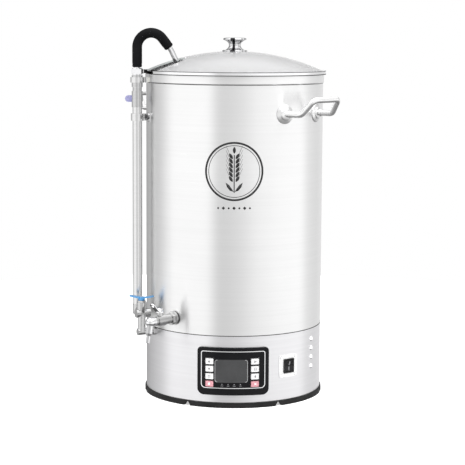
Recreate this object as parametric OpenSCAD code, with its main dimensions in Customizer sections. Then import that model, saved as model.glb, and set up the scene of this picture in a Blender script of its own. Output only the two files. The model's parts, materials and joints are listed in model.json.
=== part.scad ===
// All-in-one electric brew kettle with a grain basket, a pump and a recirculation pipe.
// Origin: on the kettle's axis at the floor. The control panel faces -Y, +Z is up.
// An azimuth is counted from the front (-Y) towards +X.

/* [Vessel] */
// Outside radius of the kettle wall and of the base
kettle_r = 200; // [180:1:260]
// Height of the seam between the base and the kettle
seam_z = 160; // [150:1:220]
// Height of the plain wall from the seam to the collar
wall_h = 546; // [440:1:700]
// Height of the collar at the rim
collar_h = 19; // [12:1:30]
// How far the collar stands proud of the wall
collar_out = 2; // [1:0.5:4]
// Thickness of the steel sheet
sheet = 1.5; // [1:0.1:2.5]

/* [Foot] */
// Height of the foot ring
foot_h = 12; // [8:1:20]
// How far the foot ring stands proud of the base
foot_out = 3; // [1:0.5:6]
// Width of the gaps in the foot ring
foot_gap = 16; // [8:1:24]

/* [Lid] */
// Thickness of the glass
glass_t = 4; // [3:0.5:6]
// Rise of the glass dome above its edge
dome_rise = 44.5; // [25:0.5:70]
// Height of the steel rim of the lid
lid_rim_h = 8.5; // [6:0.5:14]
// How far the lid stands out past the wall
lid_out = 6; // [4:0.5:12]
// Width of the notch for the arm
notch_w = 108; // [90:1:130]
// Depth of the notch from the edge of the lid
notch_depth = 82; // [80:1:95]
// Height of the knob
knob_h = 31; // [24:1:50]
// Diameter of the foot of the knob
knob_d = 57; // [40:1:80]

/* [Riser] */
// Outside diameter of the riser pipe
riser_d = 21.3; // [18:0.1:24]
// Azimuth of the riser
riser_az = -76; // [-80:1:-74]
// Distance from the wall to the axis of the riser
riser_off = 24; // [22:1:32]
// Height of the clamp that holds the riser, below the collar
clamp_drop = 77; // [60:1:200]
// Height of the upper valve, below the collar
upper_valve_drop = 37; // [30:1:42]

/* [Arm] */
// Diameter of the bare arm tube
arm_d = 12; // [10:0.5:14]
// Diameter of the soft sleeve
sleeve_d = 22; // [18:1:24]
// Bend radius of the arch
arch_r = 32; // [26:1:36]
// Height of the top of the arch above the rim, to the centre of the tube
arch_rise = 91; // [80:1:120]
// Slope of the sleeve's far end below the horizontal
arch_dip = 52; // [45:1:58]
// Slope of the bare tip below the horizontal
tip_dip = 64.4; // [60:0.1:75]
// Length of the bare tip
tip_len = 34; // [25:1:36]

/* [Control panel] */
// Width of the bezel
panel_w = 157; // [150:1:170]
// Height of the bezel
panel_h = 106; // [104:1:112]
// Height of the bezel's centre
panel_z = 82; // [76:1:88]
// How far the bezel stands out from the base
panel_t = 4; // [3:0.5:6]
// Width of the display window
display_w = 74; // [60:1:76]
// Height of the display window
display_h = 51; // [40:1:54]
// Width of a button
button_w = 16.5; // [12:0.5:17]
// Height of a button
button_h = 12.5; // [10:0.5:13]
// Travel of a button
button_travel = 1; // [0.5:0.1:1.4]

/* [Power switch] */
// Azimuth of the power switch
switch_az = 37.5; // [36:0.5:46]
// Height of the switch's centre
switch_z = 87; // [60:1:110]
// Side of the plate behind the switch
plate_s = 50; // [44:1:56]

/* [Side handles] */
// Azimuth of the right-hand handle
handle_az = 48.7; // [40:0.1:70]
// Diameter of the handle rod
handle_rod = 13; // [10:0.5:16]
// Distance between the two legs of a handle
handle_span = 108; // [90:1:130]
// Height of the handle flanges below the collar
handle_drop = 63; // [50:1:120]

/* [Drain tap] */
// Azimuth of the drain tap
tap_az = -41; // [-44:0.5:-20]
// Height of the tap's axis above the seam
tap_rise = 31.5; // [30:0.5:60]

/* [Grain basket] */
// Gap between the basket and the kettle wall
basket_gap = 23.5; // [18:0.5:40]
// Height of the basket's wall
basket_h = 460; // [340:1:560]
// Height of the basket's feet
basket_foot = 26; // [24:1:60]
// Thickness of the basket's sheet
basket_t = 1.2; // [1:0.1:2]

/* [Hidden] */
$fn = 96;

// clearances
fit_gap = 0.08; // a shaft in its hole
part_gap = 0.3; // two bodies that pass each other
seat_gap = 0.05; // curved faces that seat on each other
eps = 1; // how far a cutting tool runs past a face

// colours
steel = [0.80, 0.80, 0.80];
bright_steel = [0.86, 0.86, 0.87];
dark_metal = [0.35, 0.35, 0.36];
black = [0.06, 0.06, 0.06];
rubber_black = [0.04, 0.04, 0.04];
valve_blue = [0.22, 0.50, 0.76];
pale_plate = [0.93, 0.93, 0.93];
window_grey = [0.22, 0.22, 0.23];
button_white = [0.94, 0.94, 0.94];
button_red = [0.80, 0.45, 0.50];
board_green = [0.10, 0.35, 0.18];
hose_white = [0.88, 0.88, 0.84];
clear_glass = [0.85, 0.88, 0.88, 0.4];

// heights up the kettle
collar_z = seam_z + wall_h;
rim_z = collar_z + collar_h;
lid_r = kettle_r + lid_out;
inner_r = kettle_r - sheet;
ledge_t = 1.5; // ledges that carry the kettle and the base plate
ledge_w = 15;
bottom_t = 1.8; // the kettle's bottom plate
floor_z = seam_z + bottom_t; // inside floor of the kettle

// lid
glass_r = lid_r - 3;
dome_r = (glass_r * glass_r + dome_rise * dome_rise) / (2 * dome_rise);
dome_top = rim_z + lid_rim_h - 2 + dome_rise;
dome_z = dome_top - dome_r; // centre of the dome's sphere
notch_in = lid_r - notch_depth; // radius at the inner end of the notch
notch_corner = 34;
notch_band = 3; // steel edging round the notch
knob_screw_d = 6;

// riser, valves and arm
riser_r = kettle_r + riser_off;
pipe_wall = 1.6;
outlet_az = -62.8;
outlet_r = kettle_r + 31;
outlet_z = seam_z - 8.5;
neck_d = 18;
valve_z = outlet_z + 41.9; // flow axis of the lower valve
housing_d = 20;
housing_h = 19.2;
bonnet_d = 22;
bonnet_h = 19.5;
lower_stem_d = 8;
lower_ball_r = 8;
ball_r = 9;
flow_r = 5;
riser_foot_d = 23.5;
riser_foot_z = valve_z - 10;
riser_z = valve_z + 4; // bottom end of the riser pipe
upper_z = collar_z - upper_valve_drop;
upper_half = 18;
fitting_d = 24.5;
upper_top = upper_z + upper_half;
top_fitting_z = rim_z - 3; // top of the fitting below the union nut
nut_z = rim_z - 1.5;
nut_h = 14.5;
nut_d = 25;
nut_lip = 4;
sleeve_z = rim_z + 14.8; // lower end of the sleeve
clamp_z = collar_z - clamp_drop;
clamp_h = 16;
clamp_t = 3.5;

// the arm's route in its own plane: along x towards the kettle's axis, up z
arch_z = rim_z + arch_rise;
half_turn = (90 + arch_dip) / 2; // the arch is made of two equal bends
corner_len = arch_r * tan(half_turn / 2);
sleeve_run = 31.7; // straight part of the sleeve after the arch
tip_bend_r = 40;
arm_low = rim_z + 1;
arm_flange_d = 17.6;
arm_p1 = [0, 0, arch_z - arch_r + corner_len];
arm_p2 = arm_p1 + 2 * corner_len * [sin(half_turn), 0, cos(half_turn)];
arm_p3 = arm_p2 + (corner_len + sleeve_run) * [cos(arch_dip), 0, -sin(arch_dip)];
arm_p4 = arm_p3 + tip_len * [cos(tip_dip), 0, -sin(tip_dip)];

// control panel
window_x = -4;
window_z = panel_z + 1;
button_xs = [-52, 48];
button_zs = [panel_z + 22, panel_z + 5.3, panel_z - 11.4, panel_z - 28.1];
panel_r = kettle_r + panel_t; // radius of the bezel's face
bezel_back = 3; // depth of the bezel behind the base's surface
board_y = 0.885 * kettle_r; // distance from the axis to the back of the board
board_t = 1.6;
board_w = 138;
board_h = 92;
display_depth = 0.085 * kettle_r;
button_flange_t = 1.2;
trim_w = 1.6;
trim_t = 0.8;

// columns of vents, clear of the panel, the switch and the inlet
vent_azs = [61, 109, 157, 205];

// power switch and inlet
rocker_w = 24;
rocker_h = 27;
switch_w = 29;
switch_h = 32;
plate_t = 1.5;
inlet_z = 62;
inlet_w = 48;
inlet_h = 24;

// handles
leg_out = 45; // straight part of a leg
rise_out = 26; // outward part of the slanted stretch
rise_up = 32;
rise_in = 11.6; // how far each slanted stretch leans to the middle
handle_z = collar_z - handle_drop;
flange_d = 42;
boss_d = 26;
leg_az = asin(handle_span / 2 / kettle_r);
chord_r = kettle_r * cos(leg_az);

// drain tap
tap_z = seam_z + tap_rise;
tap_bore = 6;
tap_stem_r = kettle_r + 45;
tap_end_r = kettle_r + 73;
tap_ball_r = 9;
tap_stem_d = 7;
tap_stem_top = tap_z + 22;
spout_lean = 18;
spout_turn = 6; // turn of the spout to the right about the tap's axis
spout_len = 46;
spout_root_d = 15;
spout_tip_d = 9.5;
lever_len = 30;
lever_rise = 44;
eye_d = 14;

// pump under the kettle
pump_r = 105; // distance of the pump's axis from the kettle's axis
head_d = 66;
head_h = 24;
head_z = 96;
motor_d = 54;
delivery_z = head_z + head_h / 2;

// grain basket
basket_r = kettle_r - basket_gap;
basket_z = floor_z + basket_foot;
basket_top = basket_z + basket_h;
bead_h = 6;
bead_out = 3;
bail_z = basket_top - 12;
bail_d = 6;
bail_az = riser_az + 90; // the bail's pins lie across the arm's plane
bail_r = basket_r - basket_t - 8;
overflow_d = 24;
screen_z = basket_top - 50;
overflow_top = screen_z + 32;
screen_t = 1.5;

// --- helpers ---

function unit(v) = v / norm(v);

// children with +X pointing out of the wall at azimuth a and +Y along the wall
module at_az(a, r = 0, z = 0) {
  rotate([0, 0, a - 90]) translate([r, 0, z]) children();
}

// children drawn flat, x along the wall and y up, then pushed out from radius r1 to r2
module outward(a, z, r1, r2) {
  rotate([0, 0, a - 90])
    translate([0, 0, z])
      rotate([90, 0, 90])
        translate([0, 0, r1])
          linear_extrude(r2 - r1) children();
}

module tube(r, wall, h) {
  rotate_extrude() translate([r - wall, 0]) square([wall, h]);
}

// a piece of the wall's curve between two radii, cut to the flat outline of its children
module skin(a, z, r1, r2, reach) {
  intersection() {
    translate([0, 0, z - reach]) tube(r2, r2 - r1, 2 * reach);
    outward(a, z, r1 * 0.6, r2 + eps) children();
  }
}

// rectangle with its own radius at the top and at the bottom corners
module rounded(w, h, top_r, low_r) {
  translate([-w / 2, -h / 2 + low_r]) square([w, h - low_r - top_r]);
  translate([-w / 2 + low_r, -h / 2]) square([w - 2 * low_r, h / 2]);
  translate([-w / 2 + top_r, 0]) square([w - 2 * top_r, h / 2]);
  for (s = [-1, 1]) {
    translate([s * (w / 2 - low_r), -h / 2 + low_r]) circle(low_r);
    translate([s * (w / 2 - top_r), h / 2 - top_r]) circle(top_r);
  }
}

// hexagon across its flats
module hex(flats) {
  circle(d = flats / cos(30), $fn = 6);
}

// a route along points, rounded at each inner point by its own bend radius
function arc_points(p, d1, d2, bend_r, steps) =
  let (
    turn = acos(d1 * d2),
    inward = unit(d2 - (d1 * d2) * d1),
    centre = p + bend_r * inward
  )
  [for (k = [0:steps])
    let (a = turn * k / steps)
    centre - bend_r * cos(a) * inward + bend_r * sin(a) * d1];

function route(points, bends, steps) =
  let (
    last = len(points) - 1,
    dirs = [for (i = [0:last - 1]) unit(points[i + 1] - points[i])],
    cuts = [for (i = [1:last - 1]) bends[i - 1] * tan(acos(dirs[i - 1] * dirs[i]) / 2)],
    all = [
      points[0],
      for (i = [1:last - 1])
        each arc_points(points[i] - cuts[i - 1] * dirs[i - 1], dirs[i - 1], dirs[i],
          bends[i - 1], steps),
      points[last]
    ]
  )
  [for (i = [0:len(all) - 1]) if (i == 0 || norm(all[i] - all[max(i - 1, 0)]) > 0.05) all[i]];

function tangent(path, i) =
  unit(path[min(i + 1, len(path) - 1)] - path[max(i - 1, 0)]);

function level(n, t) = unit(n - (n * t) * t);

// one cross direction for each point, carried along the route without twist
function cross_dirs(path, first) =
  [for (i = 0, n = level(first, tangent(path, 0)); i < len(path);
    i = i + 1, n = level(n, tangent(path, min(i, len(path) - 1)))) n];

function ring_points(path, dirs, r, sides) =
  [for (i = [0:len(path) - 1], k = [0:sides - 1])
    let (t = tangent(path, i), a = 360 * k / sides)
    path[i] + r * (cos(a) * dirs[i] + sin(a) * cross(t, dirs[i]))];

function skin_faces(rings, sides, base, flip) =
  [for (i = [0:rings - 2], k = [0:sides - 1])
    let (
      a = base + i * sides + k,
      b = base + i * sides + (k + 1) % sides,
      c = a + sides,
      d = b + sides
    )
    each (flip ? [[a, d, b], [a, c, d]] : [[a, b, d], [a, d, c]])];

// rod along points, or a tube where bore is over 0
module bent_rod(points, bends, r, bore = 0, first = [0, 1, 0], sides = 24, steps = 8) {
  path = route(points, bends, steps);
  dirs = cross_dirs(path, first);
  rings = len(path);
  outer = ring_points(path, dirs, r, sides);
  inner = bore > 0 ? ring_points(path, dirs, bore, sides) : [];
  m = rings * sides;
  end = m - sides;
  caps = bore > 0
    ? [for (k = [0:sides - 1])
        let (n = (k + 1) % sides)
        each [
          [k, m + n, n], [k, m + k, m + n],
          [end + k, end + n, m + end + n], [end + k, m + end + n, m + end + k]
        ]]
    : [[for (k = [sides - 1:-1:0]) k], [for (k = [0:sides - 1]) end + k]];
  faces = concat(skin_faces(rings, sides, 0, false),
    bore > 0 ? skin_faces(rings, sides, m, true) : [], caps);
  // the faces above run anticlockwise seen from outside, so each is turned over
  polyhedron(
    points = concat(outer, inner),
    faces = [for (f = faces) [for (k = [len(f) - 1:-1:0]) f[k]]]
  );
}

// the lid's notch, grown by g, in plan
module notch_plan(g = 0) {
  c = notch_corner;
  rotate([0, 0, riser_az - 90]) {
    translate([notch_in + c, -notch_w / 2 - g]) square([lid_r, notch_w + 2 * g]);
    translate([notch_in - g, -notch_w / 2 + c]) square([c + 2 * g, notch_w - 2 * c]);
    for (s = [-1, 1]) translate([notch_in + c, s * (notch_w / 2 - c)]) circle(c + g);
  }
}

// dome shell between two distances from the glass's outer face
module dome_shell(out, depth, r) {
  intersection() {
    difference() {
      translate([0, 0, dome_z]) sphere(dome_r + out);
      translate([0, 0, dome_z]) sphere(dome_r - depth);
    }
    translate([0, 0, rim_z - 10]) cylinder(h = dome_rise + 60, r = r);
  }
}

// --- base ---

module foot_ring() color(rubber_black) {
  foot_w = 9;
  difference() {
    rotate_extrude() polygon([
      [kettle_r + foot_out - foot_w, 0],
      [kettle_r + foot_out, 0],
      [kettle_r + foot_out, foot_h - 1],
      [kettle_r + foot_out - 1, foot_h],
      [kettle_r - ledge_w, foot_h],
      [kettle_r - ledge_w, foot_h - 2.5],
      [kettle_r + foot_out - foot_w, foot_h - 2.5]
    ]);
    for (a = [30, 80, 150, 210, 280, 330])
      at_az(a, kettle_r + foot_out - foot_w - 3, 0)
        rotate([90, 0, 90])
          linear_extrude(foot_w + 8) polygon([
            [-foot_gap / 2 - 1, -eps],
            [foot_gap / 2 + 1, -eps],
            [foot_gap / 2 - 5, foot_h - 3],
            [-foot_gap / 2 + 5, foot_h - 3]
          ]);
  }
}

module base_plate() color(dark_metal) {
  slots = 12;
  difference() {
    translate([0, 0, foot_h + ledge_t]) cylinder(h = 1.2, r = inner_r - 1);
    for (i = [0:slots - 1])
      rotate([0, 0, i * 360 / slots])
        translate([120, 0, foot_h]) linear_extrude(6) rounded(40, 5, 2.4, 2.4);
  }
}

module base_shell() color(steel) {
  vent_d = 9;
  difference() {
    union() {
      rotate_extrude() polygon([
        [kettle_r - ledge_w, foot_h],
        [kettle_r, foot_h],
        [kettle_r, seam_z],
        [kettle_r - ledge_w, seam_z],
        [kettle_r - ledge_w, seam_z - ledge_t],
        [inner_r, seam_z - ledge_t],
        [inner_r, foot_h + ledge_t],
        [kettle_r - ledge_w, foot_h + ledge_t]
      ]);
      for (a = vent_azs, k = [0:3])
        at_az(a, kettle_r - 3.2, seam_z - 24 - k * 20.7) sphere(6.4, $fn = 48);
    }
    for (a = vent_azs, k = [0:3])
      at_az(a, kettle_r - 3.2, seam_z - 24 - k * 20.7) {
        sphere(5.2, $fn = 48);
        translate([0, -vent_d / 2, -5.2]) cube([8, vent_d, 2.4]);
        rotate([0, -90, 0]) cylinder(h = 8, r = 4);
      }
    outward(0, panel_z, inner_r * 0.8, kettle_r + eps)
      rounded(panel_w - 12, panel_h - 12, 6, 10);
    outward(switch_az, switch_z, inner_r * 0.8, kettle_r + eps)
      square([switch_w + 1, switch_h + 1], center = true);
    outward(180, inlet_z, inner_r * 0.8, kettle_r + eps)
      square([inlet_w - 14, inlet_h - 2], center = true);
    at_az(outlet_az, kettle_r - 8, outlet_z) rotate([0, 90, 0]) cylinder(h = 16, r = 6.3);
  }
}

// --- kettle ---

module kettle_shell() color(steel) {
  difference() {
    rotate_extrude() polygon([
      [inner_r, seam_z],
      [kettle_r, seam_z],
      [kettle_r, collar_z],
      [kettle_r + collar_out, collar_z + collar_out],
      [kettle_r + collar_out, rim_z],
      [inner_r + collar_out, rim_z],
      [inner_r + collar_out, collar_z + collar_out],
      [inner_r, collar_z]
    ]);
    at_az(tap_az, kettle_r - 10, tap_z) rotate([0, 90, 0]) cylinder(h = 20, r = 9);
  }
}

module kettle_bottom() color(steel) {
  difference() {
    translate([0, 0, seam_z]) cylinder(h = bottom_t, r = inner_r - seat_gap);
    at_az(outlet_az, pump_r, seam_z - eps) cylinder(h = 5, r = 8 + fit_gap);
    at_az(90, 60, seam_z - eps) cylinder(h = 5, r = 3 + fit_gap);
  }
}

module heating_rings() color(dark_metal) {
  bar_w = 11;
  bar_h = 8;
  for (r = [50, 75, 145]) {
    translate([0, 0, seam_z - bar_h])
      rotate_extrude() translate([r - bar_w / 2, 0]) square([bar_w, bar_h]);
    at_az(150, r, seam_z - bar_h - 14) cylinder(h = 14, r = 3);
  }
}

module temperature_probe() color(bright_steel) {
  at_az(90, 60, 0) {
    translate([0, 0, seam_z - 18]) cylinder(h = 44, r = 3);
    translate([0, 0, seam_z - 18 - 12]) cylinder(h = 12, r = 5);
  }
}

module sump_filter() color(bright_steel) {
  cap_h = basket_foot - 4;
  cap_r = 28;
  wall = 1;
  at_az(outlet_az, pump_r, floor_z) difference() {
    cylinder(h = cap_h, r = cap_r);
    translate([0, 0, -eps]) cylinder(h = cap_h - wall + eps, r = cap_r - wall);
    for (a = [0:30:330])
      rotate([0, 0, a]) translate([cap_r - 3, -1, 4]) cube([6, 2, cap_h - 9]);
  }
}

// --- pump ---

module pump_body() color(black) {
  at_az(outlet_az, pump_r, 0) {
    difference() {
      union() {
        translate([0, 0, head_z]) cylinder(h = head_h, r = head_d / 2);
        translate([0, 0, head_z + head_h]) cylinder(h = 16, r = 8);
        translate([0, 0, foot_h + ledge_t + 1.2 + 8])
          cylinder(h = head_z - foot_h - ledge_t - 9.2, r = motor_d / 2);
        translate([0, 0, foot_h + ledge_t + 1.2]) cylinder(h = 8, r = motor_d / 2 + 5);
        translate([0, 0, delivery_z])
          rotate([0, 90, 0]) cylinder(h = head_d / 2 + 6, r = 6);
      }
      translate([0, 0, head_z + 4]) cylinder(h = head_h - 8, r = head_d / 2 - 4);
      translate([0, 0, head_z + head_h - 6]) cylinder(h = 23, r = 5);
      translate([0, 0, head_z - 8]) cylinder(h = 14, r = 2.5 + fit_gap);
      translate([0, 0, delivery_z]) rotate([0, 90, 0]) cylinder(h = head_d, r = 4);
    }
  }
}

module pump_rotor() color(hose_white) {
  blades = 6;
  at_az(outlet_az, pump_r, head_z + 4 + part_gap) {
    translate([0, 0, -10]) cylinder(h = 11, r = 2.5);
    cylinder(h = 3, r = 26);
    for (i = [0:blades - 1])
      rotate([0, 0, i * 360 / blades]) translate([6, -1, 2]) cube([18, 2, 9]);
    cylinder(h = 8, r = 7);
  }
}

// feed hose from the kettle to the pump, and delivery hose from the pump to the outlet
module pump_hoses() color(hose_white) {
  feed_z = head_z + head_h + 17;
  at_az(outlet_az, pump_r, feed_z) difference() {
    cylinder(h = floor_z - feed_z, r = 8);
    translate([0, 0, -eps]) cylinder(h = 80, r = 5);
  }
  at_az(outlet_az, pump_r, feed_z - 15) difference() {
    cylinder(h = 26, r = 10.5);
    translate([0, 0, -eps]) cylinder(h = 28, r = 8 + seat_gap);
  }
  start = pump_r + head_d / 2 + 2;
  finish = kettle_r - ledge_w - 1;
  at_az(outlet_az, 0, 0)
    bent_rod([
      [start, 0, delivery_z],
      [start + 12, 0, delivery_z],
      [finish - 22, 0, outlet_z],
      [finish, 0, outlet_z]
    ], [9, 9], 8, 6.2, sides = 16, steps = 4);
}

// --- outlet and lower valve ---

// a frame on the lower valve's stem axis, with +X towards the foot of the riser
function polar(a, r, z) = [r * sin(a), -r * cos(a), z];
outlet_p = polar(outlet_az, outlet_r, 0);
riser_p = polar(riser_az, riser_r, 0);
link = riser_p - outlet_p;
link_len = norm(link);
link_dir = atan2(link.y, link.x);

module at_valve(z) {
  translate([outlet_p.x, outlet_p.y, z]) rotate([0, 0, link_dir]) children();
}

module outlet_elbow() color(bright_steel) {
  stub_in = kettle_r - ledge_w - 13;
  difference() {
    union() {
      at_az(outlet_az, stub_in, outlet_z)
        rotate([0, 90, 0]) cylinder(h = outlet_r - stub_in, r = 6);
      at_az(outlet_az, kettle_r, outlet_z) rotate([0, 90, 0]) linear_extrude(5) hex(17);
      at_az(outlet_az, kettle_r + 4, outlet_z)
        rotate([0, 90, 0]) cylinder(h = outlet_r - kettle_r + 6, r = 7.8);
      at_az(outlet_az, outlet_r, outlet_z)
        cylinder(h = valve_z - housing_h / 2 - 0.5 - outlet_z, r = neck_d / 2);
    }
    at_az(outlet_az, stub_in - eps, outlet_z)
      rotate([0, 90, 0]) cylinder(h = outlet_r - stub_in + eps, r = 4);
    at_az(outlet_az, outlet_r, outlet_z) cylinder(h = 60, r = flow_r);
  }
}

module lower_valve_body() color(bright_steel) {
  low = valve_z - housing_h / 2;
  difference() {
    union() {
      at_valve(low - 0.5) cylinder(h = housing_h, r = housing_d / 2);
      at_az(outlet_az, outlet_r - 19, valve_z)
        rotate([0, 90, 0]) cylinder(h = 33, r = housing_h / 2);
      at_valve(low + housing_h - 1) cylinder(h = bonnet_h - 3, r = bonnet_d / 2);
      at_valve(low + housing_h + bonnet_h - 4) linear_extrude(4) hex(18);
      at_valve(valve_z) rotate([0, 90, 0])
        cylinder(h = link_len - riser_foot_d / 2, r = 8);
      at_valve(valve_z) translate([housing_d / 2 + 6, 0, 0])
        rotate([0, 90, 0]) linear_extrude(9) hex(18);
    }
    at_valve(valve_z) sphere(lower_ball_r + fit_gap);
    at_valve(low - eps) cylinder(h = housing_h / 2, r = flow_r);
    at_valve(valve_z) rotate([0, 90, 0]) cylinder(h = link_len, r = flow_r);
    at_valve(valve_z) cylinder(h = 60, r = lower_stem_d / 2 + fit_gap);
  }
}

module lower_valve_stem() color(bright_steel) {
  top = housing_h / 2 + bonnet_h + 9;
  difference() {
    union() {
      at_valve(valve_z) sphere(lower_ball_r);
      at_valve(valve_z) cylinder(h = top, r = lower_stem_d / 2);
    }
    at_valve(valve_z - lower_ball_r - eps) cylinder(h = lower_ball_r + eps, r = flow_r);
    at_valve(valve_z) rotate([90, 0, 0]) cylinder(h = lower_ball_r + eps, r = flow_r);
  }
}

// handle: a hub with wings at the given angles that rise to their tips
module butterfly(len, width, hub_d, hub_h, rise, bore, wings = [0, 180]) {
  wing_t = 2.4;
  half = len / 2;
  slope = atan2(rise, half - hub_d / 2 + 3);
  difference() {
    union() {
      cylinder(h = hub_h, r = hub_d / 2);
      for (s = wings)
        rotate([0, 0, s])
          translate([hub_d / 2 - 3, 0, hub_h - wing_t - 1])
            rotate([0, -slope, 0])
              linear_extrude(wing_t) {
                wing = (half - hub_d / 2 + 3) / cos(slope) - wing_t * tan(slope);
                translate([0, -width / 2]) square([wing - width / 2, width]);
                translate([wing - width / 2, 0]) circle(width / 2);
              }
    }
    translate([0, 0, -eps]) cylinder(h = hub_h + 2 * eps, r = bore);
  }
}

module lower_valve_handle() color(valve_blue) {
  hub_z = valve_z + housing_h / 2 + bonnet_h + part_gap;
  at_valve(hub_z) rotate([0, 0, 90 - 22])
    butterfly(57, 15, 15, 8, 4, lower_stem_d / 2 + seat_gap);
}

// --- riser ---

module at_riser(z) {
  at_az(riser_az, riser_r, z) children();
}

module riser_foot() color(bright_steel) {
  difference() {
    at_riser(riser_foot_z) cylinder(h = riser_z + 8 - riser_foot_z, r = riser_foot_d / 2);
    at_riser(riser_z) cylinder(h = 20, r = riser_d / 2 + seat_gap);
    at_riser(valve_z - flow_r) cylinder(h = 20, r = riser_d / 2 - pipe_wall);
    at_valve(valve_z) rotate([0, 90, 0]) cylinder(h = link_len, r = flow_r);
  }
}

module riser_pipe() color(steel) {
  at_riser(riser_z) tube(riser_d / 2, pipe_wall, upper_z - upper_half + 8 - riser_z);
}

module upper_valve_body() color(bright_steel) {
  low = upper_z - upper_half;
  difference() {
    union() {
      at_riser(low) cylinder(h = 2 * upper_half, r = fitting_d / 2);
      at_riser(upper_z) rotate([90, 0, 0]) cylinder(h = 21, r = 8);
    }
    at_riser(low - eps) cylinder(h = 8 + eps, r = riser_d / 2 + seat_gap);
    at_riser(low - eps) cylinder(h = 2 * upper_half + 2 * eps, r = flow_r);
    at_riser(upper_z) sphere(ball_r + fit_gap);
    at_riser(upper_z) rotate([90, 0, 0]) cylinder(h = 30, r = 3 + fit_gap);
  }
}

module upper_valve_stem() color(bright_steel) {
  difference() {
    union() {
      at_riser(upper_z) sphere(ball_r);
      at_riser(upper_z) rotate([90, 0, 0]) cylinder(h = 30, r = 3);
    }
    at_riser(upper_z - ball_r - eps) cylinder(h = 2 * (ball_r + eps), r = flow_r);
  }
}

module upper_valve_handle() color(valve_blue) {
  at_riser(upper_z) rotate([90, 0, 0])
    translate([0, 0, 21 + part_gap])
      butterfly(46, 15, 15, 7.5, 3, 3 + seat_gap, [0]);
}

module riser_top() color(bright_steel) {
  difference() {
    union() {
      at_riser(upper_top) cylinder(h = 9, r = fitting_d / 2 - 2);
      at_riser(upper_top + 9) cylinder(h = top_fitting_z - upper_top - 9, r = fitting_d / 2);
      at_riser(top_fitting_z) cylinder(h = arm_low - part_gap - top_fitting_z, r = 8.6);
    }
    at_riser(upper_top - eps) cylinder(h = 60, r = flow_r);
  }
}

module union_nut() color(bright_steel) {
  difference() {
    at_riser(nut_z) {
      cylinder(h = nut_h, r = nut_d / 2 - 1.2);
      translate([0, 0, 2]) linear_extrude(nut_h - 4) hex(nut_d - 1);
    }
    at_riser(nut_z - eps) cylinder(h = nut_h - nut_lip + eps, r = 9.5);
    at_riser(nut_z) cylinder(h = nut_h + eps, r = arm_d / 2 + fit_gap);
  }
}

// ring round the riser, an ear to the wall and a pad on the wall
module riser_clamp() color(steel) {
  ring_r = riser_d / 2 + clamp_t;
  difference() {
    union() {
      at_riser(clamp_z - clamp_h / 2) cylinder(h = clamp_h, r = ring_r);
      at_az(riser_az, kettle_r - 2, clamp_z - clamp_h / 2)
        translate([0, -2, 0]) cube([riser_off - riser_d / 2, 4, clamp_h]);
      skin(riser_az + 3, clamp_z, kettle_r + seat_gap, kettle_r + 2, 20)
        square([26, clamp_h + 6], center = true);
    }
    at_riser(clamp_z - clamp_h) cylinder(h = 2 * clamp_h, r = riser_d / 2 + seat_gap);
    translate([0, 0, clamp_z - clamp_h]) cylinder(h = 2 * clamp_h, r = kettle_r + seat_gap);
  }
}

// hook from the top fitting to the collar
module rim_hook() color(steel) {
  hook_z = rim_z - 19;
  hook_h = 12;
  wall_r = kettle_r + collar_out;
  difference() {
    union() {
      at_riser(hook_z) cylinder(h = hook_h, r = fitting_d / 2 + 3);
      at_az(riser_az, wall_r + 2.5, hook_z)
        translate([0, -3, 0]) cube([riser_off - fitting_d / 2 - 3, 6, hook_h]);
      skin(riser_az + 1, hook_z + hook_h / 2, wall_r + 2.5, wall_r + 5, 20)
        square([24, hook_h], center = true);
    }
    at_riser(hook_z - eps) cylinder(h = hook_h + 2 * eps, r = fitting_d / 2 + seat_gap);
  }
}

module rim_pad() color(rubber_black) {
  wall_r = kettle_r + collar_out;
  skin(riser_az + 1.5, rim_z - 13, wall_r + seat_gap, wall_r + 2.5 - seat_gap, 20)
    square([22, 11], center = true);
}

// --- arm ---

module at_arm() {
  at_az(riser_az, riser_r, 0) rotate([0, 0, 180]) children();
}

module arm_tube() color(bright_steel) {
  bore = arm_d / 2 - 1.2;
  at_arm() {
    bent_rod([[0, 0, arm_low], arm_p1, arm_p2, arm_p3, arm_p4],
      [arch_r, arch_r, tip_bend_r], arm_d / 2, bore);
    translate([0, 0, arm_low]) rotate_extrude()
      translate([bore + 0.6, 0]) square([arm_flange_d / 2 - bore - 0.6, 3]);
  }
}

module arm_sleeve() color(rubber_black) {
  at_arm()
    bent_rod([[0, 0, sleeve_z], arm_p1, arm_p2, arm_p3 - 6 * unit(arm_p3 - arm_p2)],
      [arch_r, arch_r], sleeve_d / 2, arm_d / 2 + seat_gap);
}

// --- drain tap ---

module at_tap(r, z = 0) {
  at_az(tap_az, r, tap_z + z) children();
}

module tap_nuts() color(bright_steel) {
  difference() {
    at_tap(kettle_r + 2) rotate([0, 90, 0]) cylinder(h = 4, r = 15.5);
    at_tap(kettle_r) rotate([0, 90, 0]) cylinder(h = 10, r = 8.5 + seat_gap);
  }
  difference() {
    at_tap(inner_r - 9) rotate([0, 90, 0]) linear_extrude(8.4) hex(25);
    at_tap(inner_r - 10) rotate([0, 90, 0]) cylinder(h = 10, r = 8.5 + seat_gap);
  }
}

module tap_gasket() color(rubber_black) {
  difference() {
    at_tap(kettle_r + seat_gap) rotate([0, 90, 0]) cylinder(h = 2 - 2 * seat_gap, r = 14.5);
    at_tap(kettle_r - 8) rotate([0, 90, 0]) cylinder(h = 12, r = 9.2);
  }
}

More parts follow.
